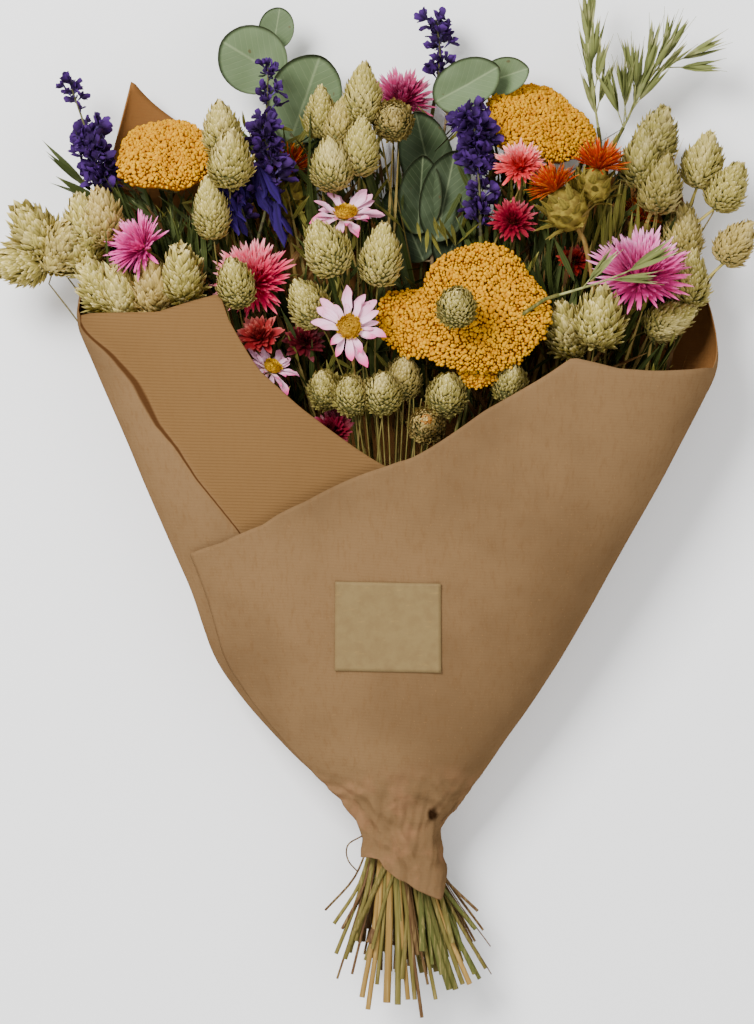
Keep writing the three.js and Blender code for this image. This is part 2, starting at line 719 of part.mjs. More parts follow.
// A broad leaf: a shallow dish with a waved rim, folded along its rib, its stalk end at the origin and its tip at +Y.
function broadLeaf(length, width, fold) {
  const dish = [
    new THREE.Vector2(0, 0),
    new THREE.Vector2(0.5, 0.06),
    new THREE.Vector2(0.5, 0.06),
    new THREE.Vector2(0, 0),
  ];
  dish[2].y += 0.9 / length;
  dish[3].y += 0.9 / length;
  const geometry = new THREE.LatheGeometry(dish, 8).rotateX(Math.PI / 2);
  return reshape(geometry, (p) => {
    const angle = Math.atan2(p.y, p.x);
    const r = Math.hypot(p.x, p.y) * 2;
    const wave = r > 0.5 ? 0.016 * Math.sin(3 * angle) * length : 0;
    const z = (p.z - 0.06) * length + wave + fold * Math.abs(p.x) * width;
    return new THREE.Vector3(p.x * width, (p.y + 0.5) * length, z);
  });
}

function makeEucalyptus() {
  for (const [name, spray] of Object.entries(EUCALYPTUS)) {
    const axis = new THREE.CatmullRomCurve3(spray.branch.map(vec));
    const parts = [stick(axis.getPoints(3), [1.5, 0.9], 3)];
    const eggs = axis.getPoints(8).map((p) => egg(p, new THREE.Vector3(0, 1, 0), 12, 2));
    for (const [x, y, z, turn, rise, length, width, fold] of spray.leaves) {
      const centre = new THREE.Vector3(x, y, z);
      const tip = aimOf(turn, 90 - rise);
      const face = new THREE.Vector3(-tip.x * tip.z, -tip.y * tip.z, tip.x * tip.x + tip.y * tip.y).normalize();
      const side = tip.clone().cross(face);
      const leaf = broadLeaf(length, width, fold).applyMatrix4(new THREE.Matrix4().makeBasis(side, tip, face));
      const foot = centre.clone().addScaledVector(tip, -length / 2);
      parts.push(leaf.translate(foot.x, foot.y, foot.z));
      const hold = nearestOn(axis, foot);
      const inLeaf = foot.clone().addScaledVector(tip, length * 0.12);
      parts.push(stick([hold, foot, inLeaf], [0.9, 0.9], 3));
      eggs.push(egg(centre.clone().addScaledVector(face, fold * 4 + 1), face, 5 + fold * 8, (length + width) / 4));
    }
    const aim = axis.getTangentAt(0);
    feet.push({ at: axis.getPointAt(0).addScaledVector(aim, -SPRAY_GAP), aim, radius: 1.5, straight: 8, name });
    add(name, fuse(parts), COLOURS.eucalyptus, eggs);
  }
}

function nearestOn(curve, point) {
  const stops = curve.getSpacedPoints(40);
  return stops.reduce((best, p) => (p.distanceTo(point) < best.distanceTo(point) ? p : best));
}

// A flat pointed blade along +Z.
function blade(length, width, thick) {
  return new THREE.OctahedronGeometry(1).scale(width / 2, thick / 2, length / 2).translate(0, 0, length / 2);
}

function makeOats() {
  for (const [name, spray] of Object.entries(OATS)) {
    const axis = new THREE.CatmullRomCurve3(spray.stalk.map(vec));
    const parts = [stick(axis.getPoints(3), [1, 0.8], 3)];
    const eggs = axis.getPoints(6).map((p) => egg(p, axis.getTangentAt(0.5), 6, 1.5));
    spray.spikelets.forEach(([share, turn, rise, branch, length], i) => {
      const from = axis.getPointAt(share);
      const aim = aimOf(turn, rise);
      const to = from.clone().addScaledVector(aim, branch);
      parts.push(stick([from, to], [0.7, 0.7], 3));
      for (const [spread, back] of i % 2 ? [[0, 0.8]] : [[-16, 0.6], [16, 2]]) {
        const husk = aimOf(turn + spread, rise + spread / 3);
        const root = to.clone().addScaledVector(aim, -back);
        parts.push(stand(blade(length, 5, 3.4), root, husk, i));
        eggs.push(egg(root.clone().addScaledVector(husk, length / 2), husk, length / 2, 2.6));
      }
    });
    const aim = axis.getTangentAt(0);
    feet.push({ at: axis.getPointAt(0).addScaledVector(aim, -SPRAY_GAP), aim, radius: 1, straight: 8, name });
    add(name, fuse(parts), COLOURS.oats, eggs);
  }
}

// The twigs are placed before the stems, and their leaves after them.
function placeTwigs() {
  for (const [name, bush] of Object.entries(FOLIAGE)) {
    const axes = bush.twigs.map((line) => new THREE.CatmullRomCurve3(line.map(vec)));
    const eggs = axes.flatMap((axis) => axis.getPoints(8).map((p) => egg(p, axis.getTangentAt(0.5), 7, 1.5)));
    bodies.push({ name, eggs });
    const aim = axes[0].getTangentAt(0);
    const foot = axes[0].getPointAt(0).addScaledVector(aim, -SPRAY_GAP);
    feet.push({ at: foot, aim, radius: 1.3, straight: 8, name });
  }
}

// Leaves are drawn one by one along each twig; one that would touch another piece is drawn again, up to ten times.
function makeFoliage() {
  const paper = paperColumns();
  for (const [name, bush] of Object.entries(FOLIAGE)) {
    const roll = dice(bush.seed);
    const parts = [];
    const leaves = [];
    const around = bodies.filter((b) => b.name !== name).flatMap((b) => b.eggs);
    for (const line of bush.twigs) {
      const axis = new THREE.CatmullRomCurve3(line.map(vec));
      parts.push(stick(axis.getPoints(4), [1.2, 0.9], 3));
      for (let i = 0; i < bush.leaves; i += 1) {
        const share = 0.12 + 0.88 * (i / (bush.leaves - 1));
        for (let go = 0; go < 10; go += 1) {
          const leaf = drawLeaf(axis, share, bush.length, roll);
          if (leaf.stops.some((p) => hits(p, around, 1.8) || nearPaper(paper, p, 2.5) || nearStems(p, 3.6))) continue;
          if (leaf.stops.slice(1).some((p) => hits(p, leaves, 1))) continue;
          parts.push(leaf.geometry);
          leaves.push(egg(leaf.stops[1], leaf.aim, leaf.length / 2, 2.2));
          break;
        }
      }
    }
    add(name, fuse(parts), COLOURS.foliage);
  }
}

function drawLeaf(axis, share, fullLength, roll) {
  const length = fullLength * (0.7 + 0.5 * roll());
  const round = 2 * Math.PI * roll();
  const open = 0.35 + 0.45 * roll();
  const along = axis.getTangentAt(share);
  const side = along.clone().cross(new THREE.Vector3(0, 0, 1)).normalize();
  const up = side.clone().cross(along);
  const aim = along.clone().multiplyScalar(Math.cos(open));
  aim.addScaledVector(side, Math.sin(open) * Math.cos(round));
  aim.addScaledVector(up, Math.sin(open) * Math.sin(round) * 0.6).normalize();
  const from = axis.getPointAt(share).addScaledVector(aim, -1.5);
  const stops = [0.2, 0.4, 0.6, 0.8, 1].map((t) => from.clone().addScaledVector(aim, length * t));
  const geometry = stand(blade(length, 3.6, 1.4), from, aim, roll() * 3);
  return { geometry, stops, aim, length };
}

// ---------------------------------------------------------------- paper, label and twine

// A point of the sheet: its angle round the bunch, its height, and how deep in the paper's thickness (0 outside, 1 inside).
function paperPoint(angle, y, depth) {
  const [left, right, top, bottom] = readTable(SECTIONS, y);
  const lap = THREE.MathUtils.clamp((LAP_STARTS - angle) / (LAP_STARTS - LAP_FULL), 0, 1);
  const fade = THREE.MathUtils.clamp((PLEATS_END - y) / (PLEATS_END - NECK_Y), 0, 1);
  const a = THREE.MathUtils.degToRad(angle);
  const pleat = PLEAT_HEIGHT * fade * Math.cos(PLEAT_COUNT * a);
  const inset = LAYER_STEP * lap + PAPER_THICK * depth - pleat;
  const soft = (v) => Math.sign(v) * Math.abs(v) ** SECTION_POWER;
  const x = (left + right) / 2 + ((right - left) / 2 - inset) * soft(Math.cos(a));
  const z = (top + bottom) / 2 + ((top - bottom) / 2 - inset) * soft(Math.sin(a));
  return new THREE.Vector3(x, y, Math.max(z, PAPER_THICK * depth));
}

// The rows of each column of the sheet, from its lower to its upper border, on the inner face.
function paperColumns() {
  return BORDER.map(([angle, upper, lower]) => {
    const last = PAPER_ROWS[PAPER_ROWS.length - 1];
    return [lower, ...PAPER_ROWS, (last + upper) / 2, upper].map((y) => paperPoint(angle, y, 1));
  });
}

// The sheet's inner face at one height, as a row of straight pieces that ends at the border.
function paperCut(columns, y) {
  const cuts = columns.map((stops) => {
    const i = stops.findIndex((stop) => stop.y > y);
    return i > 0 ? stops[i - 1].clone().lerp(stops[i], (y - stops[i - 1].y) / (stops[i].y - stops[i - 1].y)) : null;
  });
  const pieces = [];
  for (let i = 1; i < cuts.length; i += 1) {
    const [p, q] = [columns[i - 1].at(-1), columns[i].at(-1)];
    const edge = p.clone().lerp(q, (y - p.y) / (q.y - p.y));
    if (cuts[i - 1] || cuts[i]) pieces.push(new THREE.Line3(cuts[i - 1] || edge, cuts[i] || edge));
  }
  return pieces;
}

function nearPaper(columns, point, margin) {
  const near = new THREE.Vector3();
  return paperCut(columns, point.y).some((piece) => {
    return piece.closestPointToPoint(point, true, near).distanceTo(point) < margin;
  });
}

function makeWrapper() {
  const rows = PAPER_ROWS.length + 2;
  const columns = BORDER.length - 1;
  const inner = paperColumns();
  const geometry = new THREE.BoxGeometry(1, 1, 1, columns, rows, 1);
  reshape(geometry, (p) => {
    const column = Math.round((p.x + 0.5) * columns);
    const { y } = inner[column][Math.round((p.y + 0.5) * rows)];
    return paperPoint(BORDER[column][0], y, 0.5 - p.z);
  });
  add("wrapper", closed(geometry), COLOURS.wrapper);
}

// The label follows the paper's front, a hair above it.
function makeLabel() {
  const paper = bouquet.getObjectByName("wrapper");
  paper.material.side = THREE.DoubleSide;
  const down = new THREE.Raycaster();
  const geometry = new THREE.BoxGeometry(LABEL_WIDE, LABEL_HIGH, 1, 5, 4, 1);
  reshape(geometry, (p) => {
    const x = p.x + LABEL_CENTRE[0];
    const y = p.y + LABEL_CENTRE[1];
    down.set(new THREE.Vector3(x, y, 300), new THREE.Vector3(0, 0, -1));
    const [touch] = down.intersectObject(paper);
    return new THREE.Vector3(x, y, touch.point.z + GAP + (p.z + 0.5) * LABEL_THICK);
  });
  add("label", closed(geometry), COLOURS.label);
}

function makeTwine() {
  const profile = [new THREE.Vector2(TWINE_INSIDE, (-TWINE_TURNS * TWINE_THICK) / 2)];
  for (let i = 0; i < TWINE_TURNS; i += 1) {
    const from = (i - TWINE_TURNS / 2) * TWINE_THICK;
    profile.push(new THREE.Vector2(TWINE_INSIDE + TWINE_THICK, from + TWINE_THICK * 0.5));
    profile.push(new THREE.Vector2(TWINE_INSIDE + (i < TWINE_TURNS - 1 ? TWINE_THICK * 0.5 : 0), from + TWINE_THICK));
  }
  profile.push(profile[0].clone());
  const ring = new THREE.LatheGeometry(profile, 16).translate(NECK_X, NECK_Y, NECK_Z);
  add("twine", closed(ring), COLOURS.twine);
}

// ---------------------------------------------------------------- stems

const stemPieces = []; // the straight pieces of the stems that are already placed

function nearStems(point, margin) {
  const near = new THREE.Vector3();
  return stemPieces.some((piece) => piece.closestPointToPoint(point, true, near).distanceTo(point) < margin);
}

// The place of a stem in the neck, in the order of a sunflower's seeds.
function neckPlace(i, count) {
  const r = BUNCH_RADIUS * Math.sqrt((i + 0.5) / count);
  return [r * Math.cos(i * GOLDEN_ANGLE), r * Math.sin(i * GOLDEN_ANGLE)];
}

// A stem from the neck to the foot of a head, straight at its end, moved aside at one or two places on its way.
function stemLine(place, foot, straight, bends) {
  const start = new THREE.Vector3(NECK_X + place[0], CORE_TO - 4, NECK_Z + place[1]);
  const turnIn = foot.at.clone().addScaledVector(foot.aim, -straight);
  const reach = turnIn.distanceTo(start);
  const leave = start.clone().add(new THREE.Vector3(place[0] * 1.2, reach * 0.3, place[1] * 0.4));
  const sink = Math.min(reach * 0.26, Math.max(4, (turnIn.z - 12) / Math.max(0.2, foot.aim.z)));
  const arrive = turnIn.clone().addScaledVector(foot.aim, -sink);
  const curve = new THREE.CubicBezierCurve3(start, leave, arrive, turnIn);
  const line = [...curve.getPoints(bends.length + 1), foot.at.clone()];
  bends.forEach(([x, z], i) => line[i + 1].add(new THREE.Vector3(x, 0, z)));
  return line;
}

const ASIDE = [[0, 0]];
for (const size of [6, 14, 26]) {
  for (const [x, z] of [[0, -1], [-1, 0], [1, 0], [0, 1], [-0.7, -0.7], [0.7, -0.7], [-0.7, 0.7], [0.7, 0.7]]) {
    ASIDE.push([x * size, z * size]);
  }
}

// How far along a line, in its straight pieces, it first meets another piece or the paper.
function firstClash(line, foot, around, paper) {
  for (let i = 0; i < line.length - 1; i += 1) {
    const steps = Math.ceil(line[i].distanceTo(line[i + 1]) / 4);
    for (let k = 0; k < steps; k += 1) {
      const p = line[i].clone().lerp(line[i + 1], k / steps);
      if (hits(p, around, foot.radius + 0.35) || nearPaper(paper, p, foot.radius + 1.7)) return i + k / steps;
    }
  }
  return Infinity;
}

// The first way that is clear. Where none is, the stem ends short of what is in its way.
function clearStem(place, foot, paper) {
  const around = obstacles(foot);
  const ways = ASIDE.map((aside) => [foot.straight, [aside]]);
  for (const straight of [foot.straight, foot.straight / 2]) {
    for (const first of ASIDE) ways.push(...ASIDE.map((second) => [straight, [first, second]]));
  }
  let best = { left: Infinity };
  for (const [straight, bends] of ways) {
    const line = stemLine(place, foot, straight, bends);
    const stop = firstClash(line, foot, around, paper);
    if (stop === Infinity) return line;
    const i = Math.floor(stop);
    const end = line[i].clone().lerp(line[i + 1], Math.max(0.05, stop - i - 0.08));
    const left = end.distanceTo(foot.at);
    if (left < best.left) best = { left, line: [...line.slice(0, i + 1), end] };
  }
  return best.line;
}

// Gives each head a place in the neck that lies towards it, then swaps places while that shortens the way.
function shareOutPlaces() {
  const wishes = feet.map(({ at }) => {
    const ahead = at.y - CORE_TO;
    return [((at.x - NECK_X) / ahead) * 26, ((at.z - NECK_Z) / ahead) * 60 - 8];
  });
  const places = feet.map((foot, i) => neckPlace(i, feet.length));
  const way = (i, k) => (wishes[i][0] - places[k][0]) ** 2 + (wishes[i][1] - places[k][1]) ** 2;
  for (let round = 0; round < 12; round += 1) {
    for (let i = 0; i < places.length; i += 1) {
      for (let k = i + 1; k < places.length; k += 1) {
        if (way(i, k) + way(k, i) < way(i, i) + way(k, k)) [places[i], places[k]] = [places[k], places[i]];
      }
    }
  }
  return places;
}

const CUT_ENDS = { shortest: -246, spread: 2.7, lift: 1.45, twist: 0.5, lengthen: 52 };

// Below the neck the stems run on, cross in a spiral and fan out to their cut ends.
function cutStem(place, radius, roll) {
  const cos = Math.cos(CUT_ENDS.twist);
  const sin = Math.sin(CUT_ENDS.twist);
  const x = (place[0] * cos - place[1] * sin) * CUT_ENDS.spread;
  const z = (place[0] * sin + place[1] * cos) * CUT_ENDS.lift;
  const middle = Math.sqrt(Math.max(0, 1 - (x / (BUNCH_RADIUS * CUT_ENDS.spread)) ** 2));
  const y = CUT_ENDS.shortest - CUT_ENDS.lengthen * middle * (0.45 + 0.55 * roll());
  const start = new THREE.Vector3(NECK_X + place[0], CORE_FROM + 4, NECK_Z + place[1]);
  const end = new THREE.Vector3(NECK_X + x + 6 * (roll() - 0.5), y, Math.max(radius + 1, NECK_Z + z));
  return stick([end, start], [radius, 1.1], 4);
}

function makeStems() {
  const roll = dice(5);
  const core = new THREE.CylinderGeometry(CORE_RADIUS, CORE_RADIUS, CORE_TO - CORE_FROM, 12);
  core.translate(NECK_X, (CORE_TO + CORE_FROM) / 2, NECK_Z);
  const parts = [core];
  const paper = paperColumns();
  shareOutPlaces().forEach((place, i) => {
    const foot = feet[i];
    const line = clearStem(place, foot, paper);
    line.slice(1).forEach((end, k) => stemPieces.push(new THREE.Line3(line[k], end)));
    parts.push(stick(line.reverse(), [foot.radius, 0.7], 3));
    if (i % 2) parts.push(cutStem(place, 1.3 + 0.9 * roll(), roll));
  });
  add("stems", fuse(parts), COLOURS.stems);
}

makeCanaryGrass();
makeYarrow();
makeStrawflowers();
makeDaisies();
makeSafflowers();
makeLarkspur();
makeEucalyptus();
makeOats();
placeTwigs();
makeStems();
makeFoliage();
makeWrapper();
makeLabel();
makeTwine();

export default bouquet;
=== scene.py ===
import math
import random

import bpy
import numpy as np
from bpy.props import FloatProperty, FloatVectorProperty, IntProperty, PointerProperty
from bpy.types import Operator, Panel, PropertyGroup
from mathutils import Matrix, Vector, noise


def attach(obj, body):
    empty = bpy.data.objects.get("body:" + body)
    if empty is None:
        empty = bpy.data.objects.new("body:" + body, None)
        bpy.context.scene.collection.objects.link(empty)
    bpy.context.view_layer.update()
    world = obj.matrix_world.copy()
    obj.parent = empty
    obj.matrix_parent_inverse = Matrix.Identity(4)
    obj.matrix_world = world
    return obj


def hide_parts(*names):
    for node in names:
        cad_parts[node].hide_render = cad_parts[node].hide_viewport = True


bl_info = {
    "name": "Dried flower bouquet",
    "version": (1, 0, 0),
    "blender": (4, 5, 0),
    "location": "3D View > Sidebar > Bouquet",
    "description": "Dresses a bunch of dried flowers rolled in kraft paper over its packed CAD frame",
    "category": "Object",
}

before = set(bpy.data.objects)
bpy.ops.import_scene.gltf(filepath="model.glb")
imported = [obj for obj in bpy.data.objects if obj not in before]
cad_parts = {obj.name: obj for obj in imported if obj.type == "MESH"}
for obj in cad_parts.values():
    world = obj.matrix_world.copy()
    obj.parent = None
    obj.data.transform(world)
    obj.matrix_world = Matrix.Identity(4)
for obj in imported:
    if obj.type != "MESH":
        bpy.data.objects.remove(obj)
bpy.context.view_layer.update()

# ---------------------------------------------------------------- places, in millimetres
# +Y runs from the cut stems to the flowers, +X is to the right, +Z is up, away from the table.

MM = 0.001
GOLDEN_ANGLE = 2.399963
NOISE_SEED = 5  # without a seed the clock moves the noise that crumples petals

PAPER_INSET = 1.2  # thickness of the paper's solid
LAYER_STEP = 3.2  # how far the sheet's inner end lies inside its outer one
SECTION_POWER = 0.75  # 1 makes the cross-section an ellipse, and less makes it boxier
PLEAT_HEIGHT = 0.9
PLEAT_COUNT = 7
PLEATS_END = -140  # above this y the paper has no pleats

NECK = (7, -190, 27)
BUNCH_RADIUS = 14.3  # of the stems where they are bound
CORE_FROM = -202  # the stems run straight through the neck between these heights
CORE_TO = -178

LABEL_CENTRE = (-1, -81)
LABEL_LIFTS = (0.85, 0.5)  # how far its two sides lie above the paper

# The twine: its y, the radius and pitch of its turns, the radius of its two strands, how far they lie from
# the cord's middle, how far they twist in a step in radians, the steps in a turn, and the turns.
TWINE = {
    "y": NECK[1] - 1.8,
    "radius": 17.8,
    "pitch": 1.75,
    "strand": 0.52,
    "apart": 0.42,
    "twist": 1.3,
    "steps": 40,
    "turns": 3,
}

# The paper's cross-section at each height: [y, left edge, right edge, top, bottom].
SECTIONS = [
    [-232, -22, 35, 60, 4], [-212, -20, 36, 55, 3], [-200, -18, 32, 52, 2], [-190, -22, 28, 52, 1],
    [-183, -28, 42, 54, -1], [-172, -38, 47, 57, -3], [-150, -60, 62, 63, -8], [-125, -83, 80, 69, -8],
    [-100, -101, 96, 75, -8], [-62, -113, 117, 84, -8], [0, -140, 152, 96, -8], [61, -166, 183, 104, -8],
    [89, -178, 182, 106, -8], [150, -169, 177, 106, -8], [200, -160, 175, 106, -8],
    [222, -157, 173, 106, -8],
]

# The sheet's borders, from the free edge of the outer lap to the free edge of the inner one:
# [angle round the bunch in degrees, upper y, lower y]. 0 is right, 90 front, 180 left, -90 back.
BORDER = [
    [151, -41, -209], [133, -35, -209], [117, -25, -210], [112, -19, -212], [105, -12, -215],
    [91, 7, -221], [80, 37, -226], [65, 66, -229], [54, 60, -231], [45, 59, -232], [40, 59, -232],
    [28, 60, -231], [20, 61, -222], [12, 61, -208], [-9, 100, -204], [-21, 150, -204], [-31, 198, -204],
    [-45, 176, -204], [-62, 154, -204], [-81, 141, -204], [-99, 150, -204], [-112, 177, -204],
    [-132, 197, -206], [-159, 223, -208], [-167, 167, -208], [-174, 122, -208], [-183, 90, -208],
    [-196, 91, -208], [-209, 91, -207], [-227, 91, -206], [-243, 101, -205], [-248, 60, -204],
    [-255, 40, -203], [-269, 6, -202],
]
LAP_STARTS = 60
LAP_FULL = -196
FLAP_FROM = -183  # beyond this angle the sheet is the flap on the left
SLIT = [(-173, 86), (-167, 79), (-155, 69), (-141, 53), (-129, 30)]
SLIT += [(-118, 17), (-107, 0), (-84, -28), (-70, -50)]
FRONT_FROM = 30  # the front of the neck lies above this height

# Painted shade: a dark spot at the deep fold on the front of the neck, and a dark line along the crease above
# it.
HOLE_SHADE = (26, -185)  # the deep fold on the front of the neck
HOLE_SIZE = (3.4, 4)
COLLAR_SHADE_LINE = [(-8, -185), (-1, -179), (6, -175.5), (16, -175), (28, -179)]  # the crease above the neck
# Straight creases of the crumpled neck: [direction in degrees, distance between them, share of the depth].
CREASES = [[15, 17, 0.4], [72, 10, 0.25], [128, 23, 0.35], [158, 7, 0.14]]

# Canary grass: [x, y, z, turn, rise, length, width] of each head. Turn is clockwise from +Y as seen
# from above, rise is how far the tip points up off the table.
CANARY_GRASS = {
    "canary_grass_far_left": [
        [-194, 134, 52, -35, 20, 33, 24], [-202, 120, 48, -95, 10, 31, 22],
        [-182, 126, 55, 20, 30, 30, 22], [-171, 125, 54, -25, 10, 30, 20],
        [-167, 138, 58, -15, 10, 30, 20], [-157, 140.5, 61, -10, 15, 29, 20],
        [-157, 104, 60, -35, 15, 32, 22], [-146, 99, 66, -22, 24, 31, 21],
        [-129, 101, 72, -10, 20, 30, 21], [-114, 109, 76, 0, 25, 31, 21],
    ],
    "canary_grass_top_left": [[-87, 173, 78, 2, 30, 34, 22], [-92, 190, 72, -5, 20, 31, 20]],
    "canary_grass_left_upper": [[-98, 146.3, 70.8, -6, 15, 36, 18]],
    "canary_grass_left_lower": [[-84, 106, 90, -8, 40, 33, 20]],
    "canary_grass_centre_upper": [[-34, 124, 100, -24, 25, 34, 25]],
    "canary_grass_centre_lower": [[-44, 95, 86, -30, 30, 31, 23]],
    "canary_grass_centre_right": [[-5, 120, 94, 6, 20, 37, 21]],
    "canary_grass_top_middle": [
        [-32, 171, 70, -5, 20, 31, 23], [-38, 201, 50, 0, 10, 30, 17], [-27, 194, 54, 5, 10, 30, 18],
        [-15, 210, 58, 3, 10, 36, 20], [-16, 181, 64, 4, 10, 34, 20], [2, 198, 58, 0, 75, 28, 23],
    ],
    "canary_grass_front_low": [
        [-21, 46, 84, -8, 55, 28, 21], [-4, 47, 86, 0, 50, 29, 22], [7, 55, 73, 5, 45, 29, 21],
        [-35, 49, 76, -12, 50, 28, 20],
    ],
    "canary_grass_front_right": [[31, 46, 82, 6, 50, 30, 22], [20, 30, 76, 0, 78, 26, 21]],
    "canary_grass_on_yarrow": [[36, 93, 116, 6, 62, 30, 21]],
    "canary_grass_under_yarrow": [[66, 52, 78, 10, 45, 26, 20]],
    "canary_grass_right_front": [[114, 86, 78, 8, 25, 34, 25], [98, 80, 68, -18, 30, 32, 22]],
    "canary_grass_right_edge": [
        [153, 87, 52, 66, 10, 31, 19], [166, 108, 46, 4, 10, 33, 20], [162, 134, 42, 5, 10, 33, 21],
        [173, 174, 46, 14, 10, 32, 22], [186, 160, 48, 30, 10, 30, 21], [190, 129, 52, 35, 10, 28, 20],
    ],
    "canary_grass_right_upper": [
        [139, 174, 58, 4, 15, 33, 22], [147, 188, 52, 14, 10, 31, 22], [149, 160, 60, 10, 15, 33, 21],
    ],
}

# Bunches whose scales stand off more, by how much.
LOOSE_GRASS = {
    "canary_grass_far_left": 1.7,
    "canary_grass_right_front": 1.5,
    "canary_grass_right_upper": 1.3,
    "canary_grass_right_edge": 1.2,
    "canary_grass_top_left": 1.2,
}

# Bunches whose scales get painted shade, darker than the others, from 0 to 1.
SHADED_GRASS = {
    "canary_grass_right_upper": 0.75,
    "canary_grass_right_edge": 0.3,
    "canary_grass_top_middle": 0.2,
}

# Side stalks: heads of one bunch that grow from a neighbour's stem, [node, from, to].
SIDE_STALKS = [
    ["canary_grass_right_edge", [170.5, 163, 44], [163, 143, 41]],
    ["canary_grass_right_edge", [180, 150, 46], [166, 139, 42]],
    ["canary_grass_right_edge", [184, 119, 50], [168, 104, 45]],
]

# Yarrow: each head is a set of flat domes [x, y, radius] round its own middle, on one branching foot.
YARROW = {
    "yarrow_top_left": {"at": [-122, 177.5, 50.5, 0, 42], "foot": 24, "domes": [[0, 0, 29]]},
    "yarrow_top_right": {"at": [82, 196, 36, 20, 42], "foot": 22, "domes": [[0, 0, 31]]},
    "yarrow_front": {
        "at": [50, 92, 82, -10, 80],
        "foot": 30,
        "domes": [[0, 0, 36], [-38, -6, 19], [-2, -33, 10]],
    },
}

# Strawflowers: [x, y, z, turn, rise, radius], the number of bracts, how broad they are, the direction of the
# side that gets painted shade, and the colours: root, middle, tip, and the darker middle on that shaded side.
STRAWFLOWERS = {
    "strawflower_pink_left": [
        [-136, 127, 74, -58, 42, 18], 320, 0.05, 200,
        [(210, 52, 136), (238, 82, 166), (246, 156, 206), (228, 70, 158)],
    ],
    "strawflower_pink_crimson": [
        [-75, 109, 64, -20, 65, 20], 560, 0.05, 130,
        [(196, 20, 60), (240, 92, 116), (246, 170, 176), (216, 22, 80)],
    ],
    "strawflower_magenta_right": [
        [137, 111, 66, 5, 50, 25], 640, 0.045, 150,
        [(214, 60, 136), (240, 112, 182), (246, 176, 216), (230, 64, 152)],
    ],
    "strawflower_crimson_top": [
        [7, 210, 26, 10, 50, 17], 360, 0.06, 90,
        [(160, 30, 80), (198, 58, 116), (226, 146, 184), (156, 28, 78)],
    ],
    "strawflower_coral_top": [
        [71.6, 171.6, 68.3, -10, 60, 13], 300, 0.065, 180,
        [(206, 40, 44), (238, 92, 96), (246, 180, 170), (222, 50, 60)],
    ],
    "strawflower_crimson_right": [
        [68, 142, 56, 0, 65, 12], 220, 0.08, 160,
        [(110, 8, 24), (156, 10, 44), (196, 60, 80), (136, 10, 36)],
    ],
    "strawflower_red_left": [
        [-70.6, 77.6, 72, -30, 60, 12], 130, 0.14, 160,
        [(112, 14, 20), (160, 40, 38), (208, 106, 90), (134, 20, 28)],
    ],
    "strawflower_red_shaded": [
        [-47, 75, 60, 10, 60, 11], 110, 0.14, 160,
        [(60, 6, 14), (96, 10, 24), (150, 50, 60), (80, 8, 20)],
    ],
    "strawflower_red_right": [
        [102, 120, 54, 10, 60, 9.5], 110, 0.12, 160,
        [(90, 8, 8), (130, 16, 16), (176, 60, 36), (110, 12, 14)],
    ],
    "strawflower_crimson_low": [
        [-32, 26, 62, 0, 65, 12], 170, 0.1, 160,
        [(90, 6, 20), (130, 10, 40), (170, 50, 84), (110, 8, 30)],
    ],
}
PINK_FLOWERS = ("pink_left", "pink_crimson", "magenta_right", "coral_top")
CRIMSON_FLOWERS = ("crimson_top", "crimson_right", "crimson_low")

# Daisies: [x, y, z, turn, rise, radius, petals].
DAISIES = {
    "daisy_upper": [-24, 144, 70, 0, 36, 19, 13],
    "daisy_middle": [-22, 82, 102, 0, 80, 19, 12],
    "daisy_lower": [-65, 60, 72, 25, 40, 15, 13],
}

# Safflowers: bulb [x, y, z, turn, rise], its radius and its brush's.
SAFFLOWERS = {
    "safflower_pair_bulbs": [
        {"tuft": "safflower_pair_left_tuft", "at": [97, 148, 72, -30, 18], "radius": 12.5, "brush": 12},
        {"tuft": "safflower_pair_right_tuft", "at": [112, 161, 64, 14, 22], "radius": 10.5, "brush": 13},
    ],
    "safflower_right_bulb": [
        {"tuft": "safflower_right_tuft", "at": [137, 133, 34, 4, 20], "radius": 11, "brush": 10},
    ],
    "safflower_left_bulb": [
        {"tuft": "safflower_left_tuft", "at": [-56, 158, 32, -2, 14], "radius": 12.5, "brush": 13},
    ],
}

# Larkspur: each spike is [points of its axis, groups of florets: from, to along it, radius, florets].
LARKSPUR = {
    "larkspur_far_left": [
        [
            [[-156, 146, 44], [-163, 178, 46], [-177, 219, 38]],
            [0.2, 0.62, 7.5, 30], [0.62, 0.78, 4, 3], [0.86, 1, 5, 8],
        ],
    ],
    "larkspur_left_pair": [
        [[[-74, 128, 46], [-82, 150, 54], [-84, 166, 52]], [0.45, 1, 7, 12]],
        [
            [[-74, 128, 46], [-66, 160, 62], [-68, 192, 56], [-67, 228, 50]],
            [0.3, 0.7, 7, 26], [0.78, 0.87, 6, 5], [0.93, 1, 4.5, 6],
        ],
    ],
    "larkspur_top": [
        [[[24.5, 209, 20], [28, 234, 24], [26, 256, 24]], [0.3, 0.5, 5.5, 7], [0.65, 1, 6, 12]],
    ],
    "larkspur_centre": [
        [[[50, 134, 56], [49, 165, 58], [46, 200, 58]], [0.1, 0.4, 6, 11], [0.5, 1, 8, 34]],
    ],
}

# Large drooping petals of the front pair of larkspur: [x, y, z, turn, rise, length].
LARKSPUR_PETALS = [
    [-94, 162, 64, 162, 0, 24], [-89, 150, 64, 158, 0, 22], [-72, 168, 66, 158, 0, 26],
    [-66, 154, 66, 156, -2, 26], [-84, 164, 60, 176, -4, 20],
]
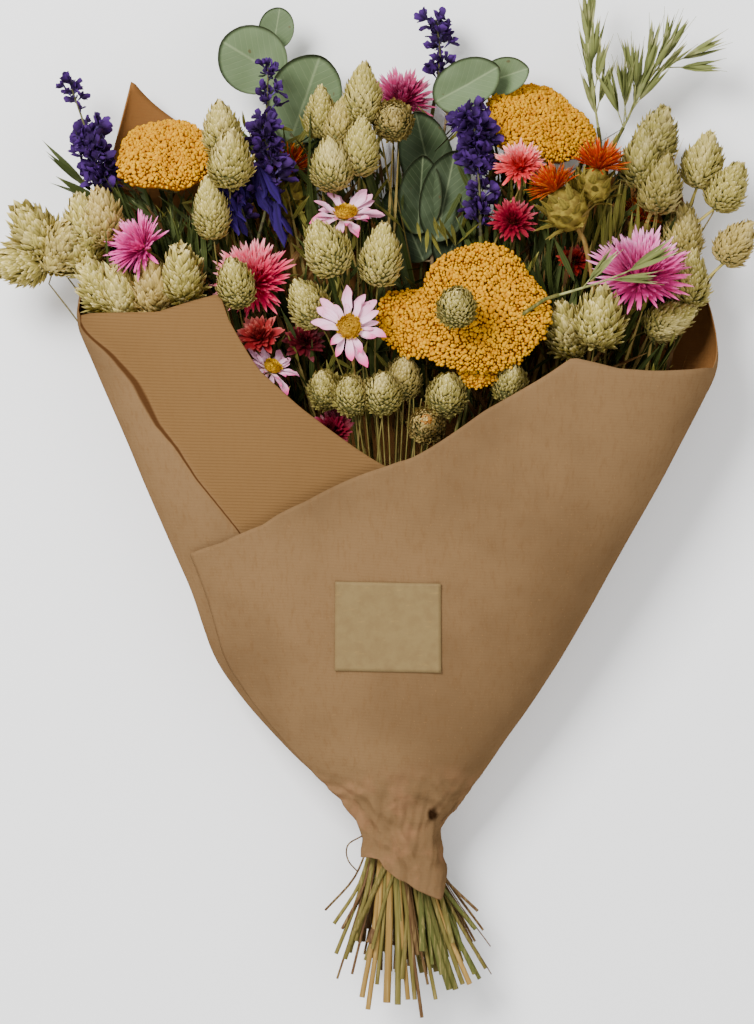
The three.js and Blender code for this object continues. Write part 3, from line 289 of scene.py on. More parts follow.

# Eucalyptus: a branch and its leaves [x, y, z, turn, rise of the leaf's face, length, width, fold, share of
# painted shade].
EUCALYPTUS = {
    "eucalyptus_left": {
        "branch": [[-44, 168, 10], [-50, 196, 12], [-60, 236, 20]],
        "leaves": [
            [-63, 251, 26, 10, 78, 24, 20, 0, 0.35], [-76, 233, 34, -60, 74, 41, 38, 0, 0.1],
            [-47, 212, 26, 20, 72, 52, 41, 0.1, 0.2], [-58, 182, 12, -40, 80, 34, 28, 0, 0.6],
            [-31, 187, 11, 50, 80, 30, 26, 0, 0.8],
        ],
    },
    "eucalyptus_right": {
        "branch": [[24, 112, 20], [24, 150, 19], [32, 204, 28]],
        "leaves": [
            [43, 219, 38, 62, 70, 42, 28, 0.35, 0.15], [64, 224, 33, 74, 66, 30, 21, 0.35, 0.05],
            [20, 180, 34, -14, 62, 54, 30, 0.35, 0.75], [31, 157, 42, 12, 66, 54, 28, 0.35, 0.85],
            [10, 142, 28, -24, 70, 46, 30, 0.3, 0.95], [38, 137, 28, 24, 66, 42, 26, 0.3, 1.0],
            [17, 158, 40, 4, 60, 48, 24, 0.4, 0.9],
        ],
    },
}

# Oats: a stalk and its spikelets [share along the stalk, turn, rise, branch length, spikelet length].
OATS = {
    "oats_top": {
        "stalk": [[116, 196, 26], [112, 222, 30], [110, 246, 32]],
        "spikelets": [
            [0.05, -12, 10, 6, 24], [0.15, 14, 14, 8, 24], [0.25, -10, 10, 9, 24], [0.35, 12, 20, 10, 24],
            [0.5, -6, 0, 8, 24], [0.6, 10, 6, 9, 24], [0.8, -4, 4, 6, 24], [1, 2, 8, 3, 26],
        ],
    },
    "oats_right": {
        "stalk": [[130, 196, 26], [140, 216, 30], [150, 230, 34]],
        "spikelets": [
            [0, -20, 16, 10, 26], [0, 4, 20, 14, 26], [0.1, -8, 25, 12, 26], [0.15, 20, 12, 10, 26],
            [0.25, 36, 20, 9, 26], [0.35, 2, 26, 12, 26], [0.4, -10, 14, 13, 24], [0.5, 16, 20, 10, 26],
            [0.6, 46, 22, 12, 26], [0.7, 8, 12, 10, 26], [0.75, 26, 30, 9, 24], [0.9, 66, 16, 18, 26],
            [0.95, 88, 4, 14, 22], [1, 30, 10, 5, 26], [1, 12, 4, 6, 24],
        ],
    },
    "oats_front": {
        "stalk": [[92, 100, 96], [112, 106, 99], [128, 112, 98]],
        "spikelets": [[0.35, 40, 8, 6, 22], [0.7, 88, 4, 5, 24], [1, 62, 4, 4, 28]],
    },
}

# Narrow-leaved foliage: twigs, the leaves on each, their length, and the seed of their places.
FOLIAGE = {
    "foliage_left": {
        "twigs": [
            [[-116, 92, 32], [-140, 130, 38], [-170, 166, 42]],
            [[-116, 92, 32], [-122, 130, 36], [-134, 152, 36]],
            [[-116, 92, 32], [-106, 126, 44], [-108, 150, 50]],
        ],
        "leaves": 26,
        "length": 30,
        "seed": 3,
    },
    "foliage_right": {
        "twigs": [
            [[92, 90, 36], [84, 116, 38], [82, 134, 38]],
            [[92, 90, 36], [112, 128, 40], [120, 150, 40]],
        ],
        "leaves": 20,
        "length": 24,
        "seed": 8,
    },
}

# Cut ends of the stems: the shortest one's y, how far the round bunch fans out to the sides and upwards, how
# far it turns in radians, how much longer the middle ones are, and how far the fan lies to the right.
CUT_ENDS = {"shortest": -238, "spread": 2.9, "lift": 1.3, "twist": 0.5, "lengthen": 40, "shift": 4}
# Cut stems in front of the others: [x and y of the cut end, radius, colour place].
FRONT_STEMS = [
    [-35.8, -239.3, 0.7, 0.95], [-30.8, -246.5, 1.1, 0.4], [-29.7, -263.1, 1.2, 0.4],
    [-24.7, -265.9, 1.3, 0.4], [-29.1, -277.0, 0.7, 0.95], [-20.8, -274.2, 0.8, 0.95],
    [-15.3, -286.9, 1.6, 0.1], [-12.0, -293.6, 1.5, 0.1], [-7.0, -279.7, 1.2, 0.4],
    [-1.5, -289.7, 2.2, 0.1], [4.6, -290.8, 1.8, 0.4], [10.2, -288.0, 1.4, 0.1], [14.0, -288.0, 1.3, 0.4],
    [17.9, -298.0, 1.1, 0.95], [21.2, -279.7, 0.8, 0.95], [33.4, -282.5, 2.0, 0.7],
    [29.0, -274.2, 1.5, 0.7], [36.7, -282.5, 1.8, 0.7], [40.6, -279.7, 1.4, 0.4],
    [44.5, -279.7, 1.6, 0.1], [47.2, -274.2, 1.4, 0.7], [50.0, -277.0, 1.2, 0.7],
    [53.3, -271.4, 1.0, 0.4], [48.9, -239.3, 0.9, 0.95], [47.8, -249.3, 1.3, 0.7],
    [56.1, -259.3, 0.35, 0.95], [56.6, -274.8, 0.35, 0.95], [-26.4, -249.3, 0.9, 0.95],
    [-21.9, -257.6, 1.4, 0.4], [25.6, -288.0, 1.2, 0.4], [8.5, -265.9, 1.2, 0.7],
    [15.7, -263.1, 1.6, 0.95],
]

# A bent stem beside the neck.
STRAY_LOOP = [(-8, -194, 34), (-17, -198.5, 38), (-22.5, -201.5, 42)]
STRAY_LOOP += [(-24, -206, 42), (-22.5, -211.7, 42), (-17.5, -217.3, 40)]

# Bodies turned round their own stem: [radius, height] as shares of the head's size, upwards.
GRASS_CORE = [(0.02, -0.44), (0.3, -0.36), (0.42, -0.12), (0.34, 0.12), (0.18, 0.32), (0.02, 0.42)]
GRASS_HEART = [(0.17, 0.4), (0.13, 0.5), (0.02, 0.53)]
BUD = [(0.28, 0), (0.42, 0.5), (0.4, 0.82), (0.22, 0.98), (0.02, 1.0)]
YARROW_BED = [(0.03, -0.2), (0.6, -0.16), (0.93, -0.07), (0.95, -0.01)]
YARROW_BED += [(0.8, 0.13), (0.5, 0.21), (0.02, 0.25)]
STRAWFLOWER_HEART = [(0.03, -0.33), (0.16, -0.3), (0.24, -0.12), (0.2, 0.04), (0.02, 0.12)]
DAISY_MOUND = [(0.02, 0), (0.3, 0), (0.33, 0.06), (0.24, 0.13), (0.02, 0.17)]
SAFFLOWER_BULB = [(0.02, -1.05), (0.55, -0.85), (0.9, -0.35), (0.95, 0.05)]
SAFFLOWER_BULB += [(0.75, 0.55), (0.4, 0.92), (0.02, 1.02)]
# The outline of a spiny bract: [height, half width].
SPINY_BRACT = [(0, 0.2), (0.14, 0.28), (0.22, 0.2), (0.36, 0.3), (0.46, 0.2)]
SPINY_BRACT += [(0.6, 0.23), (0.68, 0.14), (0.8, 0.14), (0.88, 0.06), (1, 0.004)]

# The dark hanging leaves show here: least and greatest x, least and greatest y.
HANGING = (6, 42, 124, 206)
HANGING_FROM = 20  # the filling keeps below this height there
FILLING_REACH = 166  # the filling's tips stay within this x on both sides
FILLING_BACK = (120, 46)  # beyond this y the filling starts no higher than this

# The paper's rim falls to the back: heights off the table, and the y that a leaf may reach there.
RIM_HEIGHTS = ((28, 34, 52), (300, 150, 92))

# Filling leaves and stems lie between the heads, below this outline of the bunch: [x, highest y].
CROWN = [
    [-170, 120], [-160, 168], [-120, 196], [-80, 204], [-40, 212], [10, 212], [60, 204], [110, 200],
    [160, 180], [172, 150],
]

# Kinds of filling: how many, where they start in x, y and z, how far they stray from the bunch's own fan
# and rise in degrees, their length, and their breadth to their length.
FILLING = [
    ["green", 420, (-162, 160), (24, 190), (8, 46), 14, (-4, 22), (34, 62), 0.42],
    ["green", 260, (-156, 156), (40, 196), (30, 66), 34, (-10, 30), (14, 30), 0.5],
    ["olive", 520, (-156, 158), (30, 196), (26, 66), 38, (-10, 40), (9, 22), 0.75],
    ["brown", 240, (-156, 158), (24, 190), (10, 56), 30, (-10, 30), (14, 34), 0.5],
    ["straw", 120, (-150, 150), (10, 190), (16, 56), 10, (-2, 14), (40, 80), 0.12],
]

# Bunches of long leaves: [x, y, z, spread of their roots, turn, count, shortest, longest, breadth, kind].
LONG_LEAVES = [
    [-112, 104, 60, 15, -10, 46, 34, 60, 0.3, "green"],
    [-140, 134, 52, 10, -28, 26, 20, 36, 0.2, "green"],
    [-150, 120, 44, 10, -40, 18, 20, 40, 0.2, "olive"],
    [95, 100, 52, 22, 6, 40, 24, 50, 0.35, "green"],
    [60, 128, 50, 16, 0, 26, 20, 40, 0.4, "green"],
    [24, 142, 56, 8, 160, 12, 9, 15, 0.8, "olive"],
    [100, 150, 46, 10, 4, 26, 18, 34, 0.5, "olive"],
    [72, 150, 34, 12, 4, 40, 18, 36, 0.5, "olive"],
    [64, 166, 26, 12, 0, 24, 16, 30, 0.5, "green"],
    [84, 160, 28, 14, 0, 30, 18, 34, 0.5, "green"],
    [-146, 130, 50, 8, -46, 34, 16, 32, 0.14, "green"],
    [118, 128, 56, 18, 6, 40, 20, 40, 0.4, "olive"],
    [-100, 140, 58, 10, 4, 20, 20, 40, 0.35, "olive"],
]

# The stage, in metres: [name, place, size, power] of each light, the sky's light, and the camera.
LIGHTS = [
    ["key", (-0.9, 0.9, 1.8), 0.9, 84],
    ["fill", (1.2, -0.3, 1.7), 1.6, 10],
    ["foot", (-0.2, -1.5, 1.5), 1.4, 12],
]
SKY_STRENGTH = 0.8
CAMERA_AT = (-0.007, -0.018, 3.0)
CAMERA_LENS = 187.9

# ---------------------------------------------------------------- settings


def rgb(red, green, blue):
    """A colour from 0 to 255 as Blender's linear one."""
    return tuple(((c / 255 + 0.055) / 1.055) ** 2.4 if c > 10 else c / 3295 for c in (red, green, blue))


def colour(label, about, red, green, blue):
    return FloatVectorProperty(
        name=label, description=about, default=rgb(red, green, blue), subtype="COLOR", min=0.0, max=1.0
    )


def length(label, about, millimetres):
    return FloatProperty(name=label, description=about, default=millimetres * MM, unit="LENGTH", min=0.0)


def how_many(label, about, count, least, most):
    return IntProperty(name=label, description=about, default=count, min=least, max=most)


class BouquetPaper(PropertyGroup):
    thickness: length("Paper thickness", "Thickness of the kraft sheet", 0.5)
    slit_step: length("Tuck depth", "How far the left flap lies below the band beside it", 2.2)
    crumple: length("Crumple", "Depth of the creases at the neck", 3.6)
    rib_pitch: length("Rib pitch", "Distance between the paper's fine ribs", 1.7)
    label_wide: length("Label width", "Width of the bare label", 58)
    label_high: length("Label height", "Height of the bare label", 49)
    kraft: colour("Kraft", "Main colour of the paper", 117, 91, 62)
    kraft_dark: colour("Kraft shade", "Colour of the paper's darker patches", 99, 76, 51)
    flap: colour("Flap", "Colour of the ribbed flap on the left", 108, 79, 46)
    # Painted shade: the dark colour laid in the tuck beside the left flap, where the band's edge shades it.
    fold: colour("Fold", "Colour in the tuck beside the flap", 64, 38, 18)
    label: colour("Label", "Colour of the label", 122, 102, 66)
    twine: colour("Twine", "Colour of the jute twine", 176, 146, 98)


class BouquetStems(PropertyGroup):
    count: how_many("Cut stems", "Stems cut below the neck, behind the front ones", 64, 10, 120)
    straw: colour("Straw stems", "Colour of the thick dry stems", 148, 116, 60)
    olive: colour("Olive stems", "Colour of the olive stems", 100, 92, 44)
    green: colour("Green stems", "Colour of the green stems", 76, 81, 37)
    dark: colour("Dark stems", "Colour of the thin dark stems", 84, 58, 38)


class BouquetFlowers(PropertyGroup):
    scales: how_many("Grass scales", "Scales on a head of canary grass", 460, 20, 900)
    floret_pitch: length("Yarrow floret", "Distance between florets of yarrow", 1.55)
    grass: colour("Canary grass", "Colour of the grass scales", 188, 169, 90)
    grass_stripe: colour("Grass stripe", "Colour beside the keel of a grass scale", 118, 116, 52)
    grass_tip: colour("Grass tip", "Colour of the tips of the grass scales", 226, 206, 142)
    yarrow: colour("Yarrow", "Colour of the yarrow florets", 210, 155, 0)
    # Painted shade between the yarrow florets; the yarrow bed takes it as its own colour.
    yarrow_deep: colour("Yarrow depth", "Colour between the yarrow florets", 160, 88, 0)
    petal: colour("Daisy petal", "Colour of the daisy petals", 238, 196, 216)
    petal_pink: colour("Daisy tip", "Colour of the daisy petals' pink ends", 224, 70, 140)
    disc: colour("Daisy disc", "Colour of the daisy discs", 240, 190, 0)
    bulb: colour("Safflower bulb", "Colour of the safflowers' leafy bulbs", 142, 124, 50)
    tuft: colour("Safflower brush", "Colour of the safflowers' florets", 196, 48, 0)
    larkspur: colour("Larkspur", "Colour of the larkspur petals", 74, 40, 110)
    # Painted shade at the roots of the larkspur florets, and the spurs' own dark colour.
    larkspur_deep: colour("Larkspur depth", "Darkest colour of the larkspur", 32, 18, 46)
    # The leaves' own colour, and a darker one painted on the leaves that lie in shade: painted shade.
    eucalyptus: colour("Eucalyptus", "Colour of the young leaves", 100, 117, 82)
    eucalyptus_old: colour("Shadowed eucalyptus", "Colour of the old hanging leaves", 46, 57, 36)
    oats: colour("Oats", "Colour of the oat husks", 112, 116, 64)
    foliage: colour("Foliage", "Colour of the narrow leaves", 62, 70, 28)


# ---------------------------------------------------------------- geometry tools


def aim_of(turn, rise):
    """The unit vector at a turn clockwise from +Y and a rise off the table, in degrees."""
    t, r = math.radians(turn), math.radians(rise)
    return Vector((math.sin(t) * math.cos(r), math.cos(t) * math.cos(r), math.sin(r)))


def standing(at, aim, spin=0.0):
    """The matrix that stands what is made along +Z at a point, in millimetres, along an aim."""
    turn = Vector((0, 0, 1)).rotation_difference(Vector(aim)).to_matrix().to_4x4()
    return Matrix.Translation(Vector(at) * MM) @ turn @ Matrix.Rotation(spin, 4, "Z")


def smooth_line(points, count):
    """Evenly numbered points on a smooth curve through the given ones."""
    inner = [Vector(p) for p in points]
    ends = [inner[0] * 2 - inner[1], *inner, inner[-1] * 2 - inner[-2]]
    line = []
    for k in range(count):
        place = k / (count - 1) * (len(inner) - 1)
        i = min(int(place), len(inner) - 2)
        t = place - i
        a, b, c, d = ends[i : i + 4]
        bend = (2 * a - 5 * b + 4 * c - d) * t**2
        line.append(0.5 * (2 * b + (c - a) * t + bend + (3 * b - a - 3 * c + d) * t**3))
    return line


def along(line, share):
    """The point and the direction at a share of a line's length."""
    steps = [(q - p).length for p, q in zip(line, line[1:])]
    left = share * sum(steps)
    for i, step in enumerate(steps):
        if left <= step or i == len(steps) - 1:
            p, q = line[i], line[i + 1]
            return p.lerp(q, min(1.0, left / step)), (q - p).normalized()
        left -= step


def read_smooth(table, column, place, reach):
    """Reads a column of a table whose first column rises, with its corners rounded over a reach."""
    rows = np.array(table, dtype=float)
    places = [place + k * reach / 4 for k in range(-4, 5)]
    return np.mean([np.interp(p, rows[:, 0], rows[:, column]) for p in places], axis=0)


def ramp(value, start, end):
    """0 before the start, 1 after the end and smooth between them; works on arrays."""
    t = np.clip((value - start) / (end - start), 0, 1)
    return t * t * (3 - 2 * t)


def give_values(mesh, values, kind="FLOAT", field="value"):
    """Gives the points of a mesh named numbers, or named vectors that are listed flat."""
    for key, numbers in values.items():
        data = mesh.attributes.new(key, kind, "POINT").data
        data.foreach_set(field, np.asarray(numbers, dtype=np.float32))


def new_mesh(name, points, faces, values):
    """A mesh from points in metres, its faces, and named values of its points."""
    mesh = bpy.data.meshes.new(name)
    mesh.from_pydata([tuple(p) for p in points], [], faces)
    give_values(mesh, values)
    mesh.update()
    return mesh


def linked(name, mesh, material=None):
    """A new object of a mesh, smooth shaded, in the scene."""
    obj = bpy.data.objects.new(name, mesh)
    bpy.context.scene.collection.objects.link(obj)
    if material:
        mesh.materials.clear()
        mesh.materials.append(material)
    mesh.polygons.foreach_set("use_smooth", [True] * len(mesh.polygons))
    return obj


def drop(*objects):
    for obj in objects:
        bpy.data.objects.remove(obj)


def settle(name, objects, nodes):
    """Joins objects into one piece that stands for its CAD nodes, where it has any."""
    first = objects[0]
    if len(objects) > 1:
        with bpy.context.temp_override(active_object=first, object=first, selected_editable_objects=objects):
            bpy.ops.object.join()
    first.name = name
    first.data.name = name
    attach(first, "root")
    if nodes:
        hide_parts(*nodes)


def grid_faces(rows, columns, around=False, flip=False, start=0):
    """The quads of a grid whose points are numbered row by row."""
    faces = []
    for i in range(rows - 1):
        for j in range(columns if around else columns - 1):
            k = (j + 1) % columns
            quad = [start + i * columns + j, start + i * columns + k]
            quad += [start + (i + 1) * columns + k, start + (i + 1) * columns + j]
            faces.append(quad[::-1] if flip else quad)
    return faces


def sheet_faces(rows, columns, flip=False):
    """The quads of a sheet: two grids, the second numbered after the first, and the rim between them."""
    total = rows * columns
    faces = grid_faces(rows, columns, flip=flip)
    faces += grid_faces(rows, columns, flip=not flip, start=total)
    edge = [*range(columns), *range(2 * columns - 1, total, columns)]
    edge += [*range(total - 2, total - columns - 1, -1), *range(total - 2 * columns, 0, -columns)]
    for i, j in zip(edge, edge[1:] + edge[:1]):
        faces.append([i, j, j + total, i + total] if flip else [j, i, i + total, j + total])
    return faces


def petal(name, rows, columns=2, keel=0.0, cup=0.0, curl=0.0):
    """A petal one metre long along +Z, its inner face towards -X, from rows of [height, half width]."""
    points, across, along_it = [], [], []
    for z, half in rows:
        for j in range(columns + 1):
            s = 2 * j / columns - 1
            x = keel * (1 - abs(s)) * half - cup * s * s * half + curl * z * z
            points.append((x, s * half, z))
            across.append((s + 1) / 2)
            along_it.append(z)
    faces = grid_faces(len(rows), columns + 1)
    return linked(name, new_mesh(name, points, faces, {"across": across, "along": along_it}))


def turned(name, rows, sides, material, place=None, wide=1.0, tall=1.0):
    """A body turned round +Z from rows of [radius, height] times its width and height in millimetres."""
    points = []
    for radius, height in rows:
        for j in range(sides):
            a = 2 * math.pi * j / sides
            reach = radius * wide * MM
            points.append((reach * math.cos(a), reach * math.sin(a), height * tall * MM))
    middle = [0.5] * len(points)
    heights = [i // sides / (len(rows) - 1) for i in range(len(points))]
    values = {"along": heights, "across": middle, "tone": middle}
    mesh = new_mesh(name, points, grid_faces(len(rows), sides, around=True), values)
    if place:
        mesh.transform(place)
    return linked(name, mesh, material)


def shade_by_place(obj, key, rule):
    """Gives each point of an object a named value worked out from its place."""
    points = np.empty(len(obj.data.vertices) * 3, dtype=np.float32)
    obj.data.vertices.foreach_get("co", points)
    values = obj.data.attributes.get(key) or obj.data.attributes.new(key, "FLOAT", "POINT")
    values.data.foreach_set("value", np.asarray(rule(points.reshape(-1, 3)), dtype=np.float32))


# ---------------------------------------------------------------- node trees


def add_node(tree, kind, feeds=None, **settings):
    """Adds a node; each feed is a number or a socket for the input of that name or place."""
    node = tree.nodes.new(kind)
    for key, value in settings.items():
        setattr(node, key, value)
    for key, value in (feeds or {}).items():
        if isinstance(value, bpy.types.NodeSocket):
            tree.links.new(value, node.inputs[key])
        else:
            node.inputs[key].default_value = value
    return node


def calc(tree, operation, a, b=0.0, clamp=False):
    """The output of a math node."""
    node = add_node(tree, "ShaderNodeMath", {0: a, 1: b}, operation=operation, use_clamp=clamp)
    return node.outputs[0]


def plus(tree, a, b):
    return calc(tree, "ADD", a, b)


def minus(tree, a, b, clamp=False):
    return calc(tree, "SUBTRACT", a, b, clamp)


def times(tree, a, b):
    return calc(tree, "MULTIPLY", a, b)


def between(tree, share, start, end):
    """A number that goes from start to end with a share."""
    return plus(tree, times(tree, minus(tree, end, start), share), start)


def new_tree(name, inputs):
    """A geometry tree with named inputs; returns it with their sockets and its output node."""
    tree = bpy.data.node_groups.new(name, "GeometryNodeTree")
    tree.interface.new_socket("Geometry", in_out="OUTPUT", socket_type="NodeSocketGeometry")
    for label, kind, default in inputs:
        socket = tree.interface.new_socket(label, in_out="INPUT", socket_type="NodeSocket" + kind)
        if default is not None:
            socket.default_value = default
    given = tree.nodes.new("NodeGroupInput")
    return tree, given.outputs, tree.nodes.new("NodeGroupOutput")


def grow(tree, inputs, place=None, start=None):
    """Runs a geometry tree once and returns its result as a plain object at its place."""
    seed = bpy.data.objects.new(tree.name, start or bpy.data.meshes.new(tree.name))
    bpy.context.scene.collection.objects.link(seed)
    modifier = seed.modifiers.new(tree.name, "NODES")
    modifier.node_group = tree
    for item in tree.interface.items_tree:
        if item.item_type == "SOCKET" and item.in_out == "INPUT" and item.name in inputs:
            modifier[item.identifier] = inputs[item.name]
    graph = bpy.context.evaluated_depsgraph_get()
    ready = seed.evaluated_get(graph)
    mesh = bpy.data.meshes.new_from_object(ready, preserve_all_data_layers=True, depsgraph=graph)
    seed.modifiers.remove(modifier)
    drop(seed)
    if not mesh.polygons:
        raise RuntimeError(tree.name + " made nothing")
    if place:
        mesh.transform(place)
    return linked(tree.name, mesh)


def dress(tree, shape, material, end):
    """Ends a tree: its copies are made real and get their material."""
    real = add_node(tree, "GeometryNodeRealizeInstances", {"Geometry": shape}).outputs[0]
    dressed = add_node(tree, "GeometryNodeSetMaterial", {"Geometry": real, "Material": material})
    tree.links.new(dressed.outputs[0], end.inputs[0])
    return tree


def copies_of(tree, item, points, rotation, size):
    """Copies of an object's mesh on points."""
    shape = add_node(tree, "GeometryNodeObjectInfo", {"Object": item}).outputs["Geometry"]
    feeds = {"Points": points, "Instance": shape, "Rotation": rotation, "Scale": size}
    return add_node(tree, "GeometryNodeInstanceOnPoints", feeds).outputs[0]


def sine_from(tree, cosine):
    """The sine that belongs to a cosine."""
    return calc(tree, "SQRT", minus(tree, 1.0, times(tree, cosine, cosine), clamp=True))


def head_tree():
    """Copies of one petal, scale or floret in the spiral order of a seed head, over an egg or a flat dome."""
    ready = bpy.data.node_groups.get("Seed head")
    if ready:
        return ready
    inputs = [("Geometry", "Geometry", None), ("Count", "Int", 100), ("Seed", "Int", 0)]
    inputs += [("Petal", "Object", None), ("Material", "Material", None)]
    inputs += [(label, "Float", 0.01) for label in ("Radius", "Height", "Size from", "Size to")]
    inputs += [(label, "Float", 0.0) for label in ("Taper", "Flatness", "From", "To")]
    inputs += [(label, "Float", 0.0) for label in ("Lean from", "Lean to", "Jitter")]
    tree, given, end = new_tree("Seed head", inputs)
    index = add_node(tree, "GeometryNodeInputIndex").outputs[0]
    share = calc(tree, "DIVIDE", plus(tree, index, 0.5), given["Count"])
    cosine = between(tree, share, calc(tree, "COSINE", given["From"]), calc(tree, "COSINE", given["To"]))
    reach = calc(tree, "POWER", calc(tree, "SINE", given["To"]), 2.0)
    flat = calc(tree, "SQRT", minus(tree, 1.0, times(tree, reach, share), clamp=True))
    height = between(tree, given["Flatness"], cosine, flat)
    taper = minus(tree, 1.0, times(tree, given["Taper"], height))
    radius = times(tree, times(tree, given["Radius"], sine_from(tree, height)), taper)
    turn = times(tree, index, GOLDEN_ANGLE)
    feeds = {
        0: times(tree, radius, calc(tree, "COSINE", turn)),
        1: times(tree, radius, calc(tree, "SINE", turn)),
        2: times(tree, given["Height"], height),
    }
    place = add_node(tree, "ShaderNodeCombineXYZ", feeds).outputs[0]
    points = add_node(tree, "GeometryNodePoints", {"Count": given["Count"], "Position": place}).outputs[0]
    draws = []
    for step in range(4):
        draw = add_node(tree, "FunctionNodeRandomValue", data_type="FLOAT")
        draw.inputs[2].default_value = 0.0 if step == 3 else -1.0
        draw.inputs[3].default_value = 1.0
        tree.links.new(plus(tree, given["Seed"], step * 31.0), draw.inputs["Seed"])
        draws.append(draw.outputs[1])
    lean = between(tree, share, given["Lean from"], given["Lean to"])
    lean = plus(tree, lean, times(tree, draws[0], given["Jitter"]))
    sway = times(tree, draws[1], given["Jitter"])
    euler = add_node(tree, "ShaderNodeCombineXYZ", {0: sway, 1: lean, 2: turn}).outputs[0]
    rotation = add_node(tree, "FunctionNodeEulerToRotation", {0: euler}).outputs[0]
    uneven = plus(tree, 1.0, times(tree, draws[2], times(tree, given["Jitter"], 0.8)))
    size = times(tree, between(tree, share, given["Size from"], given["Size to"]), uneven)
    copies = copies_of(tree, given["Petal"], points, rotation, size)
    for key, value in (("tone", draws[3]), ("rank", share)):
        feeds = {"Geometry": copies, "Name": key, "Value": value}
        kind = "GeometryNodeStoreNamedAttribute"
        copies = add_node(tree, kind, feeds, data_type="FLOAT", domain="INSTANCE").outputs[0]
    return dress(tree, copies, given["Material"], end)


def seed_head(
    leaf, material, count, seed, reach, span, lean, sizes, jitter, place=None, flatness=0.0, taper=0.0
):
    """Copies of a petal or scale in a seed head's order, all sizes in millimetres.

    Reach is the head's radius and height. Span is where the copies start and end, as angles from its top.
    Lean and sizes are those of the innermost and the outermost copy.
    """
    inputs = {
        "Count": count,
        "Seed": seed,
        "Petal": leaf,
        "Material": material,
        "Radius": reach[0] * MM,
        "Height": reach[1] * MM,
        "Taper": taper,
        "From": span[0],
        "To": span[1],
        "Flatness": flatness,
        "Lean from": lean[0],
        "Lean to": lean[1],
        "Size from": sizes[0] * MM,
        "Size to": sizes[1] * MM,
        "Jitter": jitter,
    }
    return grow(head_tree(), inputs, place)


def scatter_tree():
    """Copies of one leaf on the points of a mesh, turned and sized as its values say."""
    ready = bpy.data.node_groups.get("Scattered leaves")
    if ready:
        return ready
    inputs = [("Geometry", "Geometry", None), ("Leaf", "Object", None), ("Material", "Material", None)]
    tree, given, end = new_tree("Scattered leaves", inputs)
    kind = "GeometryNodeInputNamedAttribute"
    turn = add_node(tree, kind, {"Name": "turn"}, data_type="FLOAT_VECTOR").outputs[0]
    size = add_node(tree, kind, {"Name": "size"}, data_type="FLOAT_VECTOR").outputs[0]
    rotation = add_node(tree, "FunctionNodeEulerToRotation", {0: turn}).outputs[0]
    copies = copies_of(tree, given["Leaf"], given["Geometry"], rotation, size)
    return dress(tree, copies, given["Material"], end)


def scatter(leaf, material, rows):
    """Copies of a leaf: each row is (root in millimetres, aim, spin, length, breadth to length, tone)."""
    mesh = bpy.data.meshes.new("roots")
    mesh.from_pydata([tuple(Vector(row[0]) * MM) for row in rows], [], [])
    turns = [c for row in rows for c in standing((0, 0, 0), row[1], row[2]).to_euler()]
    sizes = [c for row in rows for c in (row[3] * row[4] * MM, row[3] * row[4] * MM, row[3] * MM)]
    give_values(mesh, {"turn": turns, "size": sizes}, "FLOAT_VECTOR", "vector")
    give_values(mesh, {"tone": [row[5] for row in rows]})
    return grow(scatter_tree(), {"Leaf": leaf, "Material": material}, start=mesh)


def rod_tree():
    """Round rods along the edges of a mesh, as thick as its values say."""
    ready = bpy.data.node_groups.get("Rods")
    if ready:
        return ready
    inputs = [("Geometry", "Geometry", None), ("Sides", "Int", 6), ("Material", "Material", None)]
    tree, given, end = new_tree("Rods", inputs)
    curve = add_node(tree, "GeometryNodeMeshToCurve", {"Mesh": given["Geometry"]}).outputs[0]
    ring = add_node(tree, "GeometryNodeCurvePrimitiveCircle", {"Resolution": given["Sides"], "Radius": 1.0})
    thick = add_node(tree, "GeometryNodeInputNamedAttribute", {"Name": "thick"}, data_type="FLOAT")
    feeds = {"Curve": curve, "Profile Curve": ring.outputs[0], "Scale": thick.outputs[0], "Fill Caps": True}
    shape = add_node(tree, "GeometryNodeCurveToMesh", feeds).outputs[0]
    return dress(tree, shape, given["Material"], end)


def rods(lines, material, sides=6):
    """Rods along lines in millimetres: each line is (points, first radius, last radius, tone, hue)."""
    points, edges = [], []
    values = {"thick": [], "tone": [], "hue": [], "along": []}
    for line, first, last, tone, hue in lines:
        start = len(points)
        for i, p in enumerate(line):
            t = i / (len(line) - 1)
            points.append(tuple(Vector(p) * MM))
            for key, value in zip(values, ((first + (last - first) * t) * MM, tone, hue, t)):
                values[key].append(value)
        edges += [(start + i, start + i + 1) for i in range(len(line) - 1)]
    mesh = bpy.data.meshes.new("lines")
    mesh.from_pydata(points, edges, [])
    give_values(mesh, values)
    return grow(rod_tree(), {"Sides": sides, "Material": material}, start=mesh)


# ---------------------------------------------------------------- materials


def new_material(name, rough, specular=0.1):
    """A material with constant roughness and gloss; returns it with its tree."""
    material = bpy.data.materials.new(name)
    material.use_nodes = True
    shader = material.node_tree.nodes["Principled BSDF"]
    shader.inputs["Roughness"].default_value = rough
    shader.inputs["Specular IOR Level"].default_value = specular
    return material, material.node_tree


def finished(material, base, height, strength, distance):
    """Joins a colour and a bump to the material's shader and returns the material."""
    tree = material.node_tree
    shader = tree.nodes["Principled BSDF"]
    tree.links.new(base, shader.inputs["Base Color"])
    feeds = {"Strength": strength, "Distance": distance, "Height": height}
    tree.links.new(add_node(tree, "ShaderNodeBump", feeds).outputs[0], shader.inputs["Normal"])
    return material


def mixed(tree, share, first, second):
    """The colour between two colours or colour sockets."""
    feeds = {0: share}
    for key, tint in ((6, first), (7, second)):
        feeds[key] = tint if isinstance(tint, bpy.types.NodeSocket) else (*tint[:3], 1.0)
    return add_node(tree, "ShaderNodeMix", feeds, data_type="RGBA", clamp_result=True).outputs[2]


def coated(tree, base, share, strength, tint):
    """A colour with a tint laid over it, as strong as a share times a strength."""
    return mixed(tree, times(tree, share, strength), base, tint)


def value_of(tree, key):
    return add_node(tree, "ShaderNodeAttribute", attribute_name=key).outputs["Fac"]


def object_place(tree):
    return add_node(tree, "ShaderNodeTexCoord").outputs["Object"]


